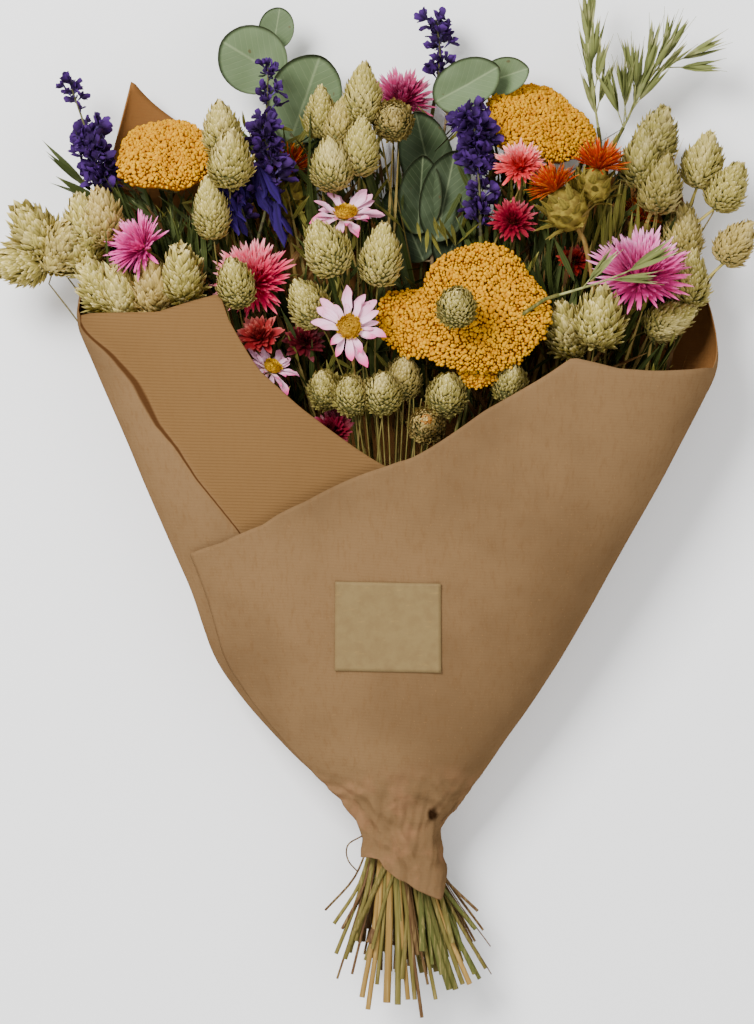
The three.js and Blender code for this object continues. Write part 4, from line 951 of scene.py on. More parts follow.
def grain(tree, scale, detail=3.0, rough=0.55, stretch=None):
    """Noise from 0 to 1, so many to the metre."""
    place = object_place(tree)
    if stretch:
        place = add_node(tree, "ShaderNodeMapping", {"Vector": place, "Scale": stretch}).outputs[0]
    feeds = {"Vector": place, "Scale": scale, "Detail": detail, "Roughness": rough}
    return add_node(tree, "ShaderNodeTexNoise", feeds).outputs[0]


def stepped(tree, value, start, end):
    """0 at the start and 1 at the end, smooth between them."""
    feeds = {"Value": value, "From Min": start, "From Max": end}
    return add_node(tree, "ShaderNodeMapRange", feeds, interpolation_type="SMOOTHSTEP").outputs[0]


def waves(tree, value, pitch):
    """A sine wave along a value."""
    return calc(tree, "SINE", times(tree, value, pitch))


def crests(tree, wave):
    return calc(tree, "MAXIMUM", wave, 0.0)


def off_middle(tree, value, middle):
    return calc(tree, "ABSOLUTE", minus(tree, value, middle))


def kraft_material(paper):
    """Kraft paper: two browns in soft patches, fine fibres and ribs, with painted shade in the rib grooves,
    the tuck and the creases, and painted highlights at the neck.
    """
    material, tree = new_material("Kraft paper", 0.7, 0.0)
    patches = stepped(tree, grain(tree, 9, 4), 0.35, 0.68)
    base = mixed(tree, patches, paper.kraft, paper.kraft_dark)
    fibres = grain(tree, 420, 4, 0.7, (1.0, 0.22, 1.0))
    base = coated(tree, base, stepped(tree, fibres, 0.45, 0.75), 0.28, rgb(92, 62, 34))
    flecks = stepped(tree, grain(tree, 900, 2), 0.66, 0.74)
    base = coated(tree, base, flecks, 0.25, rgb(150, 112, 70))
    flap = value_of(tree, "flap")
    base = coated(tree, base, flap, 0.75, paper.flap)
    ribbed = plus(tree, times(tree, flap, 0.75), 0.25)
    ribs = times(tree, crests(tree, waves(tree, value_of(tree, "rib"), 2 * math.pi)), ribbed)
    # Painted shade: the rib grooves are darkened, most on the flap.
    base = coated(tree, base, ribs, 0.2, rgb(84, 56, 26))
    base = coated(tree, base, value_of(tree, "inside"), 0.7, rgb(140, 92, 46))
    # Painted shade: the tuck beside the flap is darkened with the fold colour.
    tuck = stepped(tree, calc(tree, "ABSOLUTE", value_of(tree, "slit")), 1.1, 0.35)
    base = coated(tree, base, tuck, 0.92, paper.fold)
    # Painted shade: darker at the neck's sharp creases, in the deep fold at its front and along the crease
    # above it.
    base = mixed(tree, value_of(tree, "crease"), base, rgb(34, 20, 9))
    # Painted highlights: lighter, pinker patches on the crumpled paper at the neck.
    near = value_of(tree, "near")
    neck_highlight = times(tree, near, stepped(tree, grain(tree, 60, 4), 0.45, 0.7))
    base = coated(tree, base, neck_highlight, 0.5, rgb(140, 98, 70))
    height = plus(tree, times(tree, ribs, -0.6), times(tree, fibres, 0.5))
    height = plus(tree, height, times(tree, grain(tree, 70, 3), 1.6))
    facets = add_node(tree, "ShaderNodeTexVoronoi", {"Vector": object_place(tree), "Scale": 75})
    height = plus(tree, height, times(tree, times(tree, facets.outputs["Distance"], near), 9.0))
    return finished(material, base, height, 0.35, 0.0006)


def label_material(paper):
    """Bare label paper with a faint mottle."""
    material, tree = new_material("Label paper", 0.5)
    mottle = grain(tree, 160, 5, 0.65)
    base = mixed(tree, stepped(tree, mottle, 0.3, 0.75), paper.label, rgb(114, 93, 60))
    fibres = stepped(tree, grain(tree, 520, 3, 0.6, (0.25, 1.0, 1.0)), 0.6, 0.72)
    base = coated(tree, base, fibres, 0.3, rgb(146, 118, 70))
    base = coated(tree, base, value_of(tree, "rim"), 0.2, rgb(98, 76, 48))
    return finished(material, base, mottle, 0.2, 0.0003)


def twine_material(paper):
    """Twisted jute."""
    material, tree = new_material("Jute twine", 0.9)
    strands = grain(tree, 700, 3, 0.6, (1.0, 3.0, 1.0))
    base = mixed(tree, stepped(tree, strands, 0.3, 0.7), rgb(110, 82, 46), paper.twine)
    return finished(material, base, strands, 0.6, 0.0006)


def stem_material(stems):
    """Dry stems in four colours, ribbed lengthwise with painted highlights on the ribs, and with dark spots.
    """
    material, tree = new_material("Dried stems", 0.68)
    hue = value_of(tree, "hue")
    base = mixed(tree, stepped(tree, hue, 0.2, 0.3), stems.straw, stems.olive)
    base = mixed(tree, stepped(tree, hue, 0.5, 0.6), base, stems.green)
    base = mixed(tree, stepped(tree, hue, 0.8, 0.9), base, stems.dark)
    base = coated(tree, base, value_of(tree, "tone"), 0.45, rgb(70, 54, 22))
    ribs = grain(tree, 900, 3, 0.6, (1.0, 0.04, 1.0))
    # Painted highlights along the raised ribs of the stems.
    base = coated(tree, base, stepped(tree, ribs, 0.45, 0.75), 0.35, rgb(186, 160, 100))
    spots = stepped(tree, grain(tree, 240, 4, 0.6, (1.0, 0.3, 1.0)), 0.6, 0.75)
    base = coated(tree, base, spots, 0.5, rgb(84, 58, 30))
    return finished(material, base, ribs, 0.5, 0.0005)


def scale_material(name, main, stripe, tip, rough=0.75, tip_from=0.7, uneven=0.35):
    """Scales, husks and blades: two stripes beside the keel, a pale tip, a tone of its own for each, and
    painted shade at their roots and on some whole bunches.
    """
    material, tree = new_material(name, rough)
    up = value_of(tree, "along")
    # A darker copy of the stripe colour, for painted shade.
    deep = [c * 0.45 for c in stripe]
    off_stripe = off_middle(tree, off_middle(tree, value_of(tree, "across"), 0.5), 0.22)
    band = minus(tree, 1.0, times(tree, off_stripe, 7.0), clamp=True)
    base = coated(tree, main, band, 0.75, stripe)
    base = mixed(tree, stepped(tree, up, tip_from, 1.0), base, tip)
    # Painted shade at each scale's root, where the scales overlap.
    base = coated(tree, base, stepped(tree, up, 0.3, 0.0), 0.5, deep)
    base = coated(tree, base, value_of(tree, "tone"), uneven, [c * 0.5 for c in stripe])
    ripe = stepped(tree, value_of(tree, "shade"), 0.55, 1.0)
    base = coated(tree, base, ripe, 0.45, rgb(176, 138, 84))
    # Painted shade on whole bunches that lie in shade.
    base = coated(tree, base, value_of(tree, "dull"), 0.6, deep)
    base = coated(tree, base, stepped(tree, grain(tree, 60, 3), 0.5, 0.7), 0.3, tip)
    return finished(material, base, grain(tree, 1500, 2), 0.3, 0.0003)


def bract_material(name, root, middle, tip, shaded_middle):
    """Papery bracts: root, middle and tip in their colours, and painted shade on one side: a darker middle
    and fainter tips there.
    """
    material, tree = new_material(name, 0.42, 0.4)
    up, side = value_of(tree, "along"), value_of(tree, "side")
    # Painted shade on one side of the flower: a darker middle and fainter pale tips there.
    base = mixed(tree, stepped(tree, up, 0.1, 0.5), root, mixed(tree, side, middle, shaded_middle))
    tips = minus(tree, 1.0, times(tree, side, 0.75))
    base = coated(tree, base, stepped(tree, up, 0.72, 1.0), tips, tip)
    base = coated(tree, base, stepped(tree, value_of(tree, "rank"), 0.35, 0.05), 0.5, root)
    base = coated(tree, base, value_of(tree, "tone"), 0.35, [c * 0.55 for c in shaded_middle])
    veins = waves(tree, value_of(tree, "across"), 40.0)
    base = coated(tree, base, crests(tree, veins), 0.15, root)
    return finished(material, base, veins, 0.25, 0.0002)


def floret_material(name, main, deep, uneven=0.5, rough=0.85):
    """Packed florets: bright on top, darker below with painted shade between them, and each with its own
    tone.
    """
    material, tree = new_material(name, rough)
    # Painted shade: the florets darken towards their roots, between the others.
    base = mixed(tree, stepped(tree, value_of(tree, "along"), 0.25, 0.85), deep, main)
    base = coated(tree, base, value_of(tree, "tone"), uneven, deep)
    base = coated(tree, base, stepped(tree, grain(tree, 70, 3), 0.5, 0.75), 0.3, deep)
    return finished(material, base, grain(tree, 2200, 2), 0.5, 0.0004)


def leaf_material(young, old):
    """Waxy leaves: from their own colour to painted shade, a dark thin rim, a midrib and a few spots."""
    material, tree = new_material("Eucalyptus leaves", 0.58)
    pale = rgb(166, 178, 134)
    # Painted shade: leaves that lie in shade take the darker colour.
    base = mixed(tree, value_of(tree, "age"), young, old)
    bloom = stepped(tree, grain(tree, 55, 4), 0.35, 0.7)
    base = coated(tree, base, bloom, 0.14, rgb(134, 147, 120))
    off_rib = off_middle(tree, value_of(tree, "across"), 0.5)
    base = coated(tree, base, stepped(tree, off_rib, 0.03, 0.0), 0.28, pale)
    slant = plus(tree, times(tree, value_of(tree, "along"), 60.0), times(tree, off_rib, -50.0))
    veins = stepped(tree, calc(tree, "SINE", slant), 0.86, 1.0)
    base = coated(tree, base, veins, 0.08, pale)
    base = coated(tree, base, stepped(tree, value_of(tree, "rim"), 0.93, 1.0), 0.35, rgb(74, 70, 44))
    base = coated(tree, base, stepped(tree, grain(tree, 170, 1), 0.74, 0.78), 0.7, rgb(86, 70, 46))
    height = plus(tree, veins, times(tree, grain(tree, 600, 3), 0.6))
    return finished(material, base, height, 0.3, 0.0003)


def petal_material(main, end):
    """Thin daisy petals, pink at their ends, with fine veins."""
    material, tree = new_material("Daisy petals", 0.55)
    up = value_of(tree, "along")
    base = coated(tree, main, stepped(tree, up, 0.4, 1.0), value_of(tree, "side"), end)
    veins = waves(tree, value_of(tree, "across"), 34.0)
    base = coated(tree, base, crests(tree, veins), 0.2, end)
    base = coated(tree, base, stepped(tree, up, 0.3, 0.05), 0.45, rgb(222, 190, 120))
    base = coated(tree, base, value_of(tree, "tone"), 0.2, [c * 0.6 for c in end])
    return finished(material, base, veins, 0.25, 0.0002)


def plain_material(name, light, dark, scale):
    """A mottled surface between two colours, for cores, bulbs and twigs."""
    material, tree = new_material(name, 0.85)
    mottle = grain(tree, scale, 4)
    base = mixed(tree, stepped(tree, mottle, 0.35, 0.65), light, dark)
    return finished(material, base, mottle, 0.5, 0.0005)


# ---------------------------------------------------------------- paper, label and twine


def paper_places(angle, y, depth, sink=0.0):
    """Points of the sheet in millimetres: angle round the bunch, height, depth in the solid's thickness."""
    left, right, top, bottom = (read_smooth(SECTIONS, k, y, 9) for k in (1, 2, 3, 4))
    lap = np.clip((LAP_STARTS - angle) / (LAP_STARTS - LAP_FULL), 0, 1)
    fade = np.clip((PLEATS_END - y) / (PLEATS_END - NECK[1]), 0, 1)
    a = np.radians(angle)
    pleat = PLEAT_HEIGHT * fade * np.cos(PLEAT_COUNT * a)
    inset = LAYER_STEP * lap + PAPER_INSET * depth - pleat + sink
    cos, sin = np.cos(a), np.sin(a)
    x = (left + right) / 2 + ((right - left) / 2 - inset) * np.sign(cos) * np.abs(cos) ** SECTION_POWER
    z = (top + bottom) / 2 + ((top - bottom) / 2 - inset) * np.sign(sin) * np.abs(sin) ** SECTION_POWER
    return np.stack([x, y, np.maximum(z, PAPER_INSET * depth)], axis=-1)


def past_slit(x, y):
    """How far points lie to the right of the slit beside the left flap, negative on its left."""
    line = np.array(SLIT[::-1], dtype=float)
    return x - np.interp(y, line[:, 1], line[:, 0])


def even_angles(count):
    """Angles round the sheet that lie evenly spaced along its cross-section at y = 0."""
    fine = np.linspace(BORDER[0][0], BORDER[-1][0], 8000)
    places = paper_places(fine, np.zeros_like(fine), 0.0)
    steps = np.linalg.norm(np.diff(places, axis=0), axis=1)
    gone = np.concatenate([[0], np.cumsum(steps)])
    return np.interp(np.linspace(0, gone[-1], count), gone, fine)


def crumple_of(points, y, paper):
    """How far each point is pressed in, in millimetres: straight creases at the neck, soft waves above it."""
    deep = paper.crumple / MM
    near_neck = ramp(y, -152, -180) * (1 - 0.4 * ramp(y, -205, -228))
    sink = np.zeros_like(y)
    for i in np.ndindex(y.shape):
        p = Vector(points[i])
        soft = noise.noise(p * 0.016) + 0.5 * noise.noise(p * 0.04 + Vector((9, 2, 5)))
        sink[i] = 0.5 + 0.55 * soft
        for turn, pitch, share in CREASES if near_neck[i] > 0 else ():
            a = math.radians(turn)
            way = p.x * math.cos(a) + p.y * math.sin(a) + 0.5 * p.z
            way = way / pitch + 1.1 * noise.noise(p * 0.035)
            sink[i] += deep * near_neck[i] * share * abs(way % 1 * 2 - 1)
    return sink


def make_wrapper(paper):
    """The rolled sheet: its two sides, its rim, where it is creased, ribbed and tucked, and where its painted
    shade and painted highlights lie.
    """
    columns, rows = 280, 140
    step = np.linspace(0, 1, rows)
    # The rows lie closer together at the neck.
    angle, share = np.meshgrid(even_angles(columns), 0.4 * step + 0.6 * step**2)
    border = [[-a, upper, lower] for a, upper, lower in BORDER]
    upper = read_smooth(border, 1, -angle, 0.8)
    lower = read_smooth(border, 2, -angle, 3.0)
    y = lower + (upper - lower) * share
    plain = paper_places(angle, y, 0.0)
    past = past_slit(plain[..., 0], y)
    above_lap = ramp(y, -64, -48)
    on_flap = np.where(angle < FLAP_FROM, 1.0, 0.0) * ramp(past, -2.5, 2.5) * above_lap
    sink = crumple_of(plain, y, paper)
    sink_all = sink + on_flap * paper.slit_step / MM
    curl = 2.0 * ramp(share, 0.93, 1.0) * ramp(y, 60, 110)  # the upper border, bent in a little
    thick = paper.thickness / MM / PAPER_INSET
    outer = paper_places(angle, y, 0.0, sink_all + curl)
    inner = paper_places(angle, y, thick, sink_all + curl)
    points = np.concatenate([outer.reshape(-1, 3), inner.reshape(-1, 3)]) * MM
    # The painted shade in the tuck beside the flap is widest at y = 48 and closes under the lap.
    wide = (0.5 + 1.6 * np.exp(-(((y - 48) / 26) ** 2))) * (0.08 + 0.92 * above_lap)
    slit = np.where(angle < FLAP_FROM, past / wide, -9.0)
    # Painted shade for the creases: darker where the crumple bends sharply, in the deep fold and along the
    # collar's crease.
    bend = np.abs(sink - np.roll(sink, 1, axis=1)) + np.abs(sink - np.roll(sink, 1, axis=0))
    x, on_front = plain[..., 0], plain[..., 2] > FRONT_FROM
    hole_shade_distance = np.hypot((x - HOLE_SHADE[0]) / HOLE_SIZE[0], (y - HOLE_SHADE[1]) / HOLE_SIZE[1]) + np.where(on_front, 0, 9)
    above = y - np.interp(x, *zip(*COLLAR_SHADE_LINE))
    fold = np.exp(-((above / 0.9) ** 2)) * ramp(np.abs(x - 10), 20, 12) * on_front
    crease = 0.2 * np.clip(bend - 0.45, 0, 1) + 1.2 * ramp(hole_shade_distance, 1.3, 0.4) + 0.2 * fold
    rib = (y + 0.05 * x + 0.8 * np.sin(x / 30)) / (paper.rib_pitch / MM)
    # Near the neck: where the paper gets its painted highlights and its facets.
    near = ramp(y, -150, -185)
    values = {"crease": np.clip(crease, 0, 1), "rib": rib, "flap": on_flap, "slit": slit, "near": near}
    values = {key: np.concatenate([v.ravel(), v.ravel()]) for key, v in values.items()}
    values["inside"] = np.repeat([0.0, 1.0], rows * columns)
    mesh = new_mesh("wrapper_paper", points, sheet_faces(rows, columns, flip=True), values)
    sheet = linked("wrapper_paper", mesh, kraft_material(paper))
    settle("wrapper_paper", [sheet], ["wrapper"])


def make_label(paper):
    """The bare label, laid on the paper and lifted a little at its corners."""
    sheet = bpy.data.objects["wrapper_paper"]
    columns, rows = 30, 26
    points, rim = [], []
    for lift in LABEL_LIFTS:
        for i, j in np.ndindex(rows, columns):
            u, v = j / (columns - 1) - 0.5, i / (rows - 1) - 0.5
            x = LABEL_CENTRE[0] * MM + u * paper.label_wide * (1 - 0.012 * v)
            y = LABEL_CENTRE[1] * MM + v * paper.label_high - 0.02 * u * paper.label_wide
            found, place, _, _ = sheet.ray_cast(Vector((x, y, 0.3)), Vector((0, 0, -1)))
            if not found:
                raise RuntimeError("the label lies off the paper")
            corner = max(0.0, abs(u) + abs(v) - 0.86) * 4 * MM
            points.append((x, y, place.z + lift * MM + corner))
            rim.append(1.0 if max(abs(u), abs(v)) > 0.485 else 0.0)
    mesh = new_mesh("label_sheet", points, sheet_faces(rows, columns), {"rim": rim})
    settle("label_sheet", [linked("label_sheet", mesh, label_material(paper))], ["label"])


def make_twine(paper):
    """Two strands twisted into one cord, in turns round the bound stems."""
    strands = []
    for side in (0, math.pi):
        strand = []
        for i in range(TWINE["turns"] * TWINE["steps"] + 1):
            done = i / TWINE["steps"]
            a, b = 2 * math.pi * done, side + i * TWINE["twist"]
            reach = TWINE["radius"] + TWINE["apart"] * math.cos(b)
            y = TWINE["y"] + TWINE["pitch"] * (done - 0.5) + TWINE["apart"] * math.sin(b)
            strand.append((NECK[0] + reach * math.cos(a), y, NECK[2] + reach * math.sin(a)))
        strands.append((strand, TWINE["strand"], TWINE["strand"], 0.5, 0.0))
    settle("twine_turns", [rods(strands, twine_material(paper), 8)], ["twine"])


# ---------------------------------------------------------------- stems


def stem_feet():
    """Where a stem carries each head: [foot, aim, radius, straight length, hue]."""
    feet = []

    def carry(at, aim, below, radius, hue, straight=8):
        feet.append((Vector(at) - aim * below, aim, radius, straight, hue))

    for name, heads in CANARY_GRASS.items():
        straight = 34 if name.endswith("on_yarrow") else 8
        for x, y, z, turn, rise, tall, _ in heads:
            carry((x, y, z), aim_of(turn, rise), tall * 0.46, 0.4, 0.4, straight)
    for head in YARROW.values():
        carry(head["at"][:3], aim_of(*head["at"][3:]), head["foot"] - 1, 1.7, 0.4, 10)
    for at, *_ in STRAWFLOWERS.values():
        carry(at[:3], aim_of(*at[3:5]), at[5] * 0.3, 1.0, 0.4)
    for row in DAISIES.values():
        carry(row[:3], aim_of(*row[3:5]), 3, 0.8, 0.1)
    for plant in SAFFLOWERS.values():
        for head in plant:
            carry(head["at"][:3], aim_of(*head["at"][3:]), head["radius"], 1.4, 0.1)
    axes = [spikes[0][0] for spikes in LARKSPUR.values()]
    axes += [spray["branch"] for spray in EUCALYPTUS.values()]
    axes += [spray["stalk"] for spray in OATS.values()]
    axes += [bush["twigs"][0] for bush in FOLIAGE.values()]
    for axis in axes:
        carry(axis[0], (Vector(axis[1]) - Vector(axis[0])).normalized(), 0, 1.1, 0.7)
    return feet


def neck_place(i, count):
    """The place of one stem of a round bunch in the neck, across and up from its middle."""
    r = BUNCH_RADIUS * math.sqrt((i + 0.5) / count)
    return r * math.cos(i * GOLDEN_ANGLE), r * math.sin(i * GOLDEN_ANGLE)


def shared_places(feet):
    """Gives each head a place in the neck, then swaps places where that brings them nearer their heads."""
    ahead = [at.y - CORE_TO for at, *_ in feet]
    wishes = [((f[0].x - NECK[0]) / a * 26, (f[0].z - NECK[2]) / a * 60 - 8) for f, a in zip(feet, ahead)]
    places = [neck_place(i, len(feet)) for i in range(len(feet))]

    def way(i, k):
        return (wishes[i][0] - places[k][0]) ** 2 + (wishes[i][1] - places[k][1]) ** 2

    for _ in range(8):
        for i in range(len(places)):
            for k in range(i + 1, len(places)):
                if way(i, k) + way(k, i) < way(i, i) + way(k, k):
                    places[i], places[k] = places[k], places[i]
    return places


def section_at(y):
    """Left and right edge, top and bottom of the paper at a height."""
    heights = [row[0] for row in SECTIONS]
    return [float(np.interp(y, heights, [row[k] for row in SECTIONS])) for k in (1, 2, 3, 4)]


def beyond_paper(p, spare):
    """How far out a point lies: 1 on the paper's cross-section made wider by the spare millimetres."""
    left, right, top, bottom = section_at(p.y)
    u = (p.x - (left + right) / 2) / ((right - left) / 2 + spare)
    w = (p.z - (top + bottom) / 2) / ((top - bottom) / 2 + spare)
    power = 2 / SECTION_POWER
    return (abs(u) ** power + abs(w) ** power) ** (1 / power)


def kept_inside(p):
    """A point moved inside the paper where it lies beyond it, below the flowers."""
    out = max(1.0, beyond_paper(p, max(0, p.y - 88) * 1.1 - 7))
    left, right, top, bottom = section_at(p.y)
    x, z = (left + right) / 2, (top + bottom) / 2
    return Vector((x + (p.x - x) / out, p.y, max(3.0, z + (p.z - z) / out)))


def stem_line(place, foot):
    """A stem from the neck to the foot of a head, straight at its end."""
    at, aim, _, straight, _ = foot
    start = Vector((NECK[0] + place[0], CORE_TO - 16, NECK[2] + place[1]))
    turn_in = at - aim * straight
    reach = (turn_in - start).length
    leave = start + Vector((place[0] * 1.2, reach * 0.3, place[1] * 0.4))
    sink = min(reach * 0.26, max(4, (turn_in.z - 12) / max(0.2, aim.z)))
    if abs(at.x) > 160:
        sink = min(sink, 12)
    arrive = turn_in - aim * sink
    line = []
    for k in range(17):
        t = k / 16
        p = start * (1 - t) ** 3 + leave * 3 * t * (1 - t) ** 2
        p += arrive * 3 * t * t * (1 - t) + turn_in * t**3
        line.append(kept_inside(p))
    for _ in range(3):
        middle = [(a + b * 2 + c) / 4 for a, b, c in zip(line, line[1:], line[2:])]
        line = [line[0], *middle, line[-1]]
    return [*line, at]


def cut_line(i, count, roll):
    """A stem from inside the neck down to its cut end, in a spiral that fans out."""
    place = neck_place(i, count)
    cos, sin = math.cos(CUT_ENDS["twist"]), math.sin(CUT_ENDS["twist"])
    x = (place[0] * cos - place[1] * sin) * CUT_ENDS["spread"]
    z = (place[0] * sin + place[1] * cos) * CUT_ENDS["lift"]
    middle = max(0, 1 - (x / (BUNCH_RADIUS * CUT_ENDS["spread"])) ** 2) ** 0.35
    y = CUT_ENDS["shortest"] - CUT_ENDS["lengthen"] * middle * (0.3 + 0.7 * roll.random())
    start = Vector((NECK[0] + place[0], CORE_TO - 4, NECK[2] + place[1]))
    low = Vector((NECK[0] + place[0] * 0.98, CORE_FROM, NECK[2] + place[1] * 0.98))
    end = Vector((NECK[0] + x + CUT_ENDS["shift"] + 8 * (roll.random() - 0.5), y, max(3.0, NECK[2] + z)))
    sway = Vector((roll.uniform(-1.6, 1.6), 0, roll.uniform(-1.2, 1.2)))
    return smooth_line([start, low, low.lerp(end, 0.5) + sway, end], 12), end


def make_stems(stems):
    """The stems up to the heads, the cut ones below the neck and a few loose ones in the opening."""
    roll = random.Random(11)
    feet = stem_feet()
    lines = []
    for place, foot in zip(shared_places(feet), feet):
        lines.append((stem_line(place, foot), min(0.8, foot[2] * 1.5), foot[2], roll.random(), foot[4]))
    for i in range(stems.count):
        line, end = cut_line(i, stems.count, roll)
        thick = roll.uniform(1.0, 2.0)
        hue = 0.4 if roll.random() < 0.6 else 0.95
        if end.x > 14:
            hue = 0.7 if roll.random() < 0.7 else 0.4
        if abs(end.x - NECK[0]) > 34 or roll.random() < 0.12:
            hue, thick = 0.95, 0.7
        lines.append((line, 1.0, thick, roll.random(), hue))
    for x, y, radius, hue in FRONT_STEMS:
        lean = max(-1.0, min(1.0, (x - 11) / 48))
        lift = math.sqrt(1 - lean * lean)
        start = Vector((NECK[0] + lean * 13, CORE_TO - 8, NECK[2] + 9 * lift))
        low = Vector((NECK[0] - 2 + lean * 18, CORE_FROM - 3, NECK[2] + 11 * lift))
        end = Vector((x, y, NECK[2] + 13 * lift))
        sway = Vector((roll.uniform(-1, 1) - lean * 3, 0, 1.5))
        line = smooth_line([start, low, low.lerp(end, 0.5) + sway, end], 12)
        lines.append((line, radius * 0.8, radius, roll.random(), hue))
    lines.append((smooth_line(STRAY_LOOP, 14), 0.45, 0.4, 0.8, 0.95))
    for i in range(16):
        from_x = -22 + 3.2 * i
        line = [(from_x * 0.4, -60, 70), (from_x * 0.8, 0, 74), (from_x + roll.uniform(-8, 8), 44, 80)]
        lines.append((smooth_line(line, 8), 0.45, 0.35, roll.random(), 0.4))
    settle("stem_bundle", [rods(lines, stem_material(stems), 7)], ["stems"])


# ---------------------------------------------------------------- heads


def crumpled(obj, pitch, depth, seed=0):
    """Moves an object's points by a noise of a pitch and depth in millimetres."""
    noise.seed_set(NOISE_SEED)
    for vertex in obj.data.vertices:
        shift = noise.noise_vector(vertex.co / (pitch * MM) + Vector((seed, 0, 0)))
        vertex.co = vertex.co + shift * depth * MM
    return obj


def give_all(obj, key, value):
    """Gives every point of an object one value."""
    shade_by_place(obj, key, lambda points: np.full(len(points), value))


def make_canary_grass(flowers):
    """Egg-shaped heads of overlapping scales; the ones seen from above show a brown heart."""
    husk = scale_material("Grass scales", flowers.grass, flowers.grass_stripe, flowers.grass_tip)
    core = plain_material("Grass core", rgb(120, 118, 70), rgb(74, 74, 40), 400)
    heart = plain_material("Grass heart", rgb(176, 120, 50), rgb(110, 64, 22), 900)
    scale = petal("grass_scale", [(0, 0.12), (0.35, 0.25), (0.75, 0.17), (1, 0.01)], keel=0.7, curl=-0.08)
    stalk = scale_material("Side stalks", flowers.grass, flowers.grass_stripe, flowers.grass)
    for number, (name, heads) in enumerate(CANARY_GRASS.items()):
        parts = []
        loose = LOOSE_GRASS.get(name, 1.0)
        for i, (x, y, z, turn, rise, tall, wide) in enumerate(heads):
            place = standing((x, y, z), aim_of(turn, rise), i * GOLDEN_ANGLE)
            from_above = rise > 76
            ear = seed_head(
                scale, husk, flowers.scales, number * 20 + i, reach=(wide * 0.41, tall * 0.43),
                span=(0.12, 2.9), lean=(-0.3, 1.25), sizes=(tall * 0.15 * loose, tall * 0.115 * loose),
                jitter=0.3 * loose, place=place, taper=0.3,
            )
            give_all(ear, "shade", 1.0 if from_above else (i * 0.37) % 1)
            # How much painted shade the whole bunch gets.
            give_all(ear, "dull", SHADED_GRASS.get(name, 0.0))
            parts += [ear, turned("grass_core", GRASS_CORE, 12, core, place, wide, tall)]
            if from_above:
                parts.append(turned("grass_heart", GRASS_HEART, 9, heart, place, wide, tall))
        lines = [([a, b], 0.8, 0.8, 0.5, 0.1) for node, a, b in SIDE_STALKS if node == name]
        if lines:
            parts.append(rods(lines, stalk))
        settle(name + "_heads", parts, [name])
    drop(scale)


def floret_bud():
    """A five-sided bud one metre long, for the florets of yarrow."""
    points, share = [], []
    for i, (radius, height) in enumerate(BUD):
        for j in range(5):
            a = 2 * math.pi * (j + 0.5 * (i % 2)) / 5
            points.append((radius * math.cos(a), radius * math.sin(a), height))
            share.append(height)
    values = {"along": share, "across": [0.5] * len(points)}
    return linked("bud", new_mesh("bud", points, grid_faces(len(BUD), 5, around=True), values))


def make_yarrow(flowers):
    """Flat domes of packed florets on a branching foot."""
    florets = floret_material("Yarrow florets", flowers.yarrow, flowers.yarrow_deep)
    under = plain_material("Yarrow bed", flowers.yarrow_deep, rgb(120, 84, 20), 500)
    twigs = plain_material("Yarrow twigs", rgb(150, 138, 88), rgb(104, 94, 54), 300)
    bud = floret_bud()
    pitch = flowers.floret_pitch / MM
    for number, (name, head) in enumerate(YARROW.items()):
        x, y, z, turn, rise = head["at"]
        aim = aim_of(turn, rise)
        roll = random.Random(number + 4)
        parts, lines = [], []
        foot = Vector((x, y, z)) - aim * head["foot"]
        for i, (dx, dy, radius) in enumerate(head["domes"]):
            centre = Vector((x + dx, y + dy, z - 0.06 * math.hypot(dx, dy)))
            place = standing(centre, aim, i)
            crown = seed_head(
                bud, florets, int(3.3 * (radius / pitch) ** 2), number * 10 + i,
                reach=(radius * 0.985, radius * 0.3), span=(0.02, 1.56), lean=(0.0, 0.75),
                sizes=(pitch * 1.5, pitch * 1.4), jitter=0.45,
                place=Matrix.Translation((0, 0, -1.2 * MM)), flatness=1.0,
            )
            bed = turned("yarrow_bed", YARROW_BED, 36, under, None, radius, radius)
            for part in (crown, bed):
                lumps(part, radius)
                part.data.transform(place)
                parts.append(part)
            for k in range(int(radius * 0.55)):
                a, r = k * GOLDEN_ANGLE, radius * 0.85 * math.sqrt((k + 0.5) / (radius * 0.55))
                tip = place @ (Vector((r * math.cos(a), r * math.sin(a), -radius * 0.12)) * MM) / MM
                stray = Vector((roll.uniform(-1, 1), roll.uniform(-1, 1), 0))
                middle = foot.lerp(tip, 0.6) + aim * -2 + stray
                lines.append((smooth_line([foot, middle, tip], 7), 0.9, 0.5, roll.random(), 0.4))
        parts.append(rods(lines, twigs, 5))
        settle(name + "_head", parts, [name])
    drop(bud)


def lumps(obj, radius):
    """Gives a flat flower head its uneven rim and the low swells of its smaller clusters."""
    for vertex in obj.data.vertices:
        p = vertex.co
        angle = math.atan2(p.y, p.x)
        out = math.hypot(p.x, p.y) / (radius * MM)
        even = 1 + (0.05 * math.cos(3 * angle + 1) + 0.03 * math.cos(5 * angle)) * out
        swell = noise.noise(Vector((p.x, p.y, 0)) * 90) * 1.6 * MM
        swell += noise.noise(Vector((p.x, p.y, 3)) * 320) * 0.9 * MM
        vertex.co = Vector((p.x * even, p.y * even, p.z + swell))


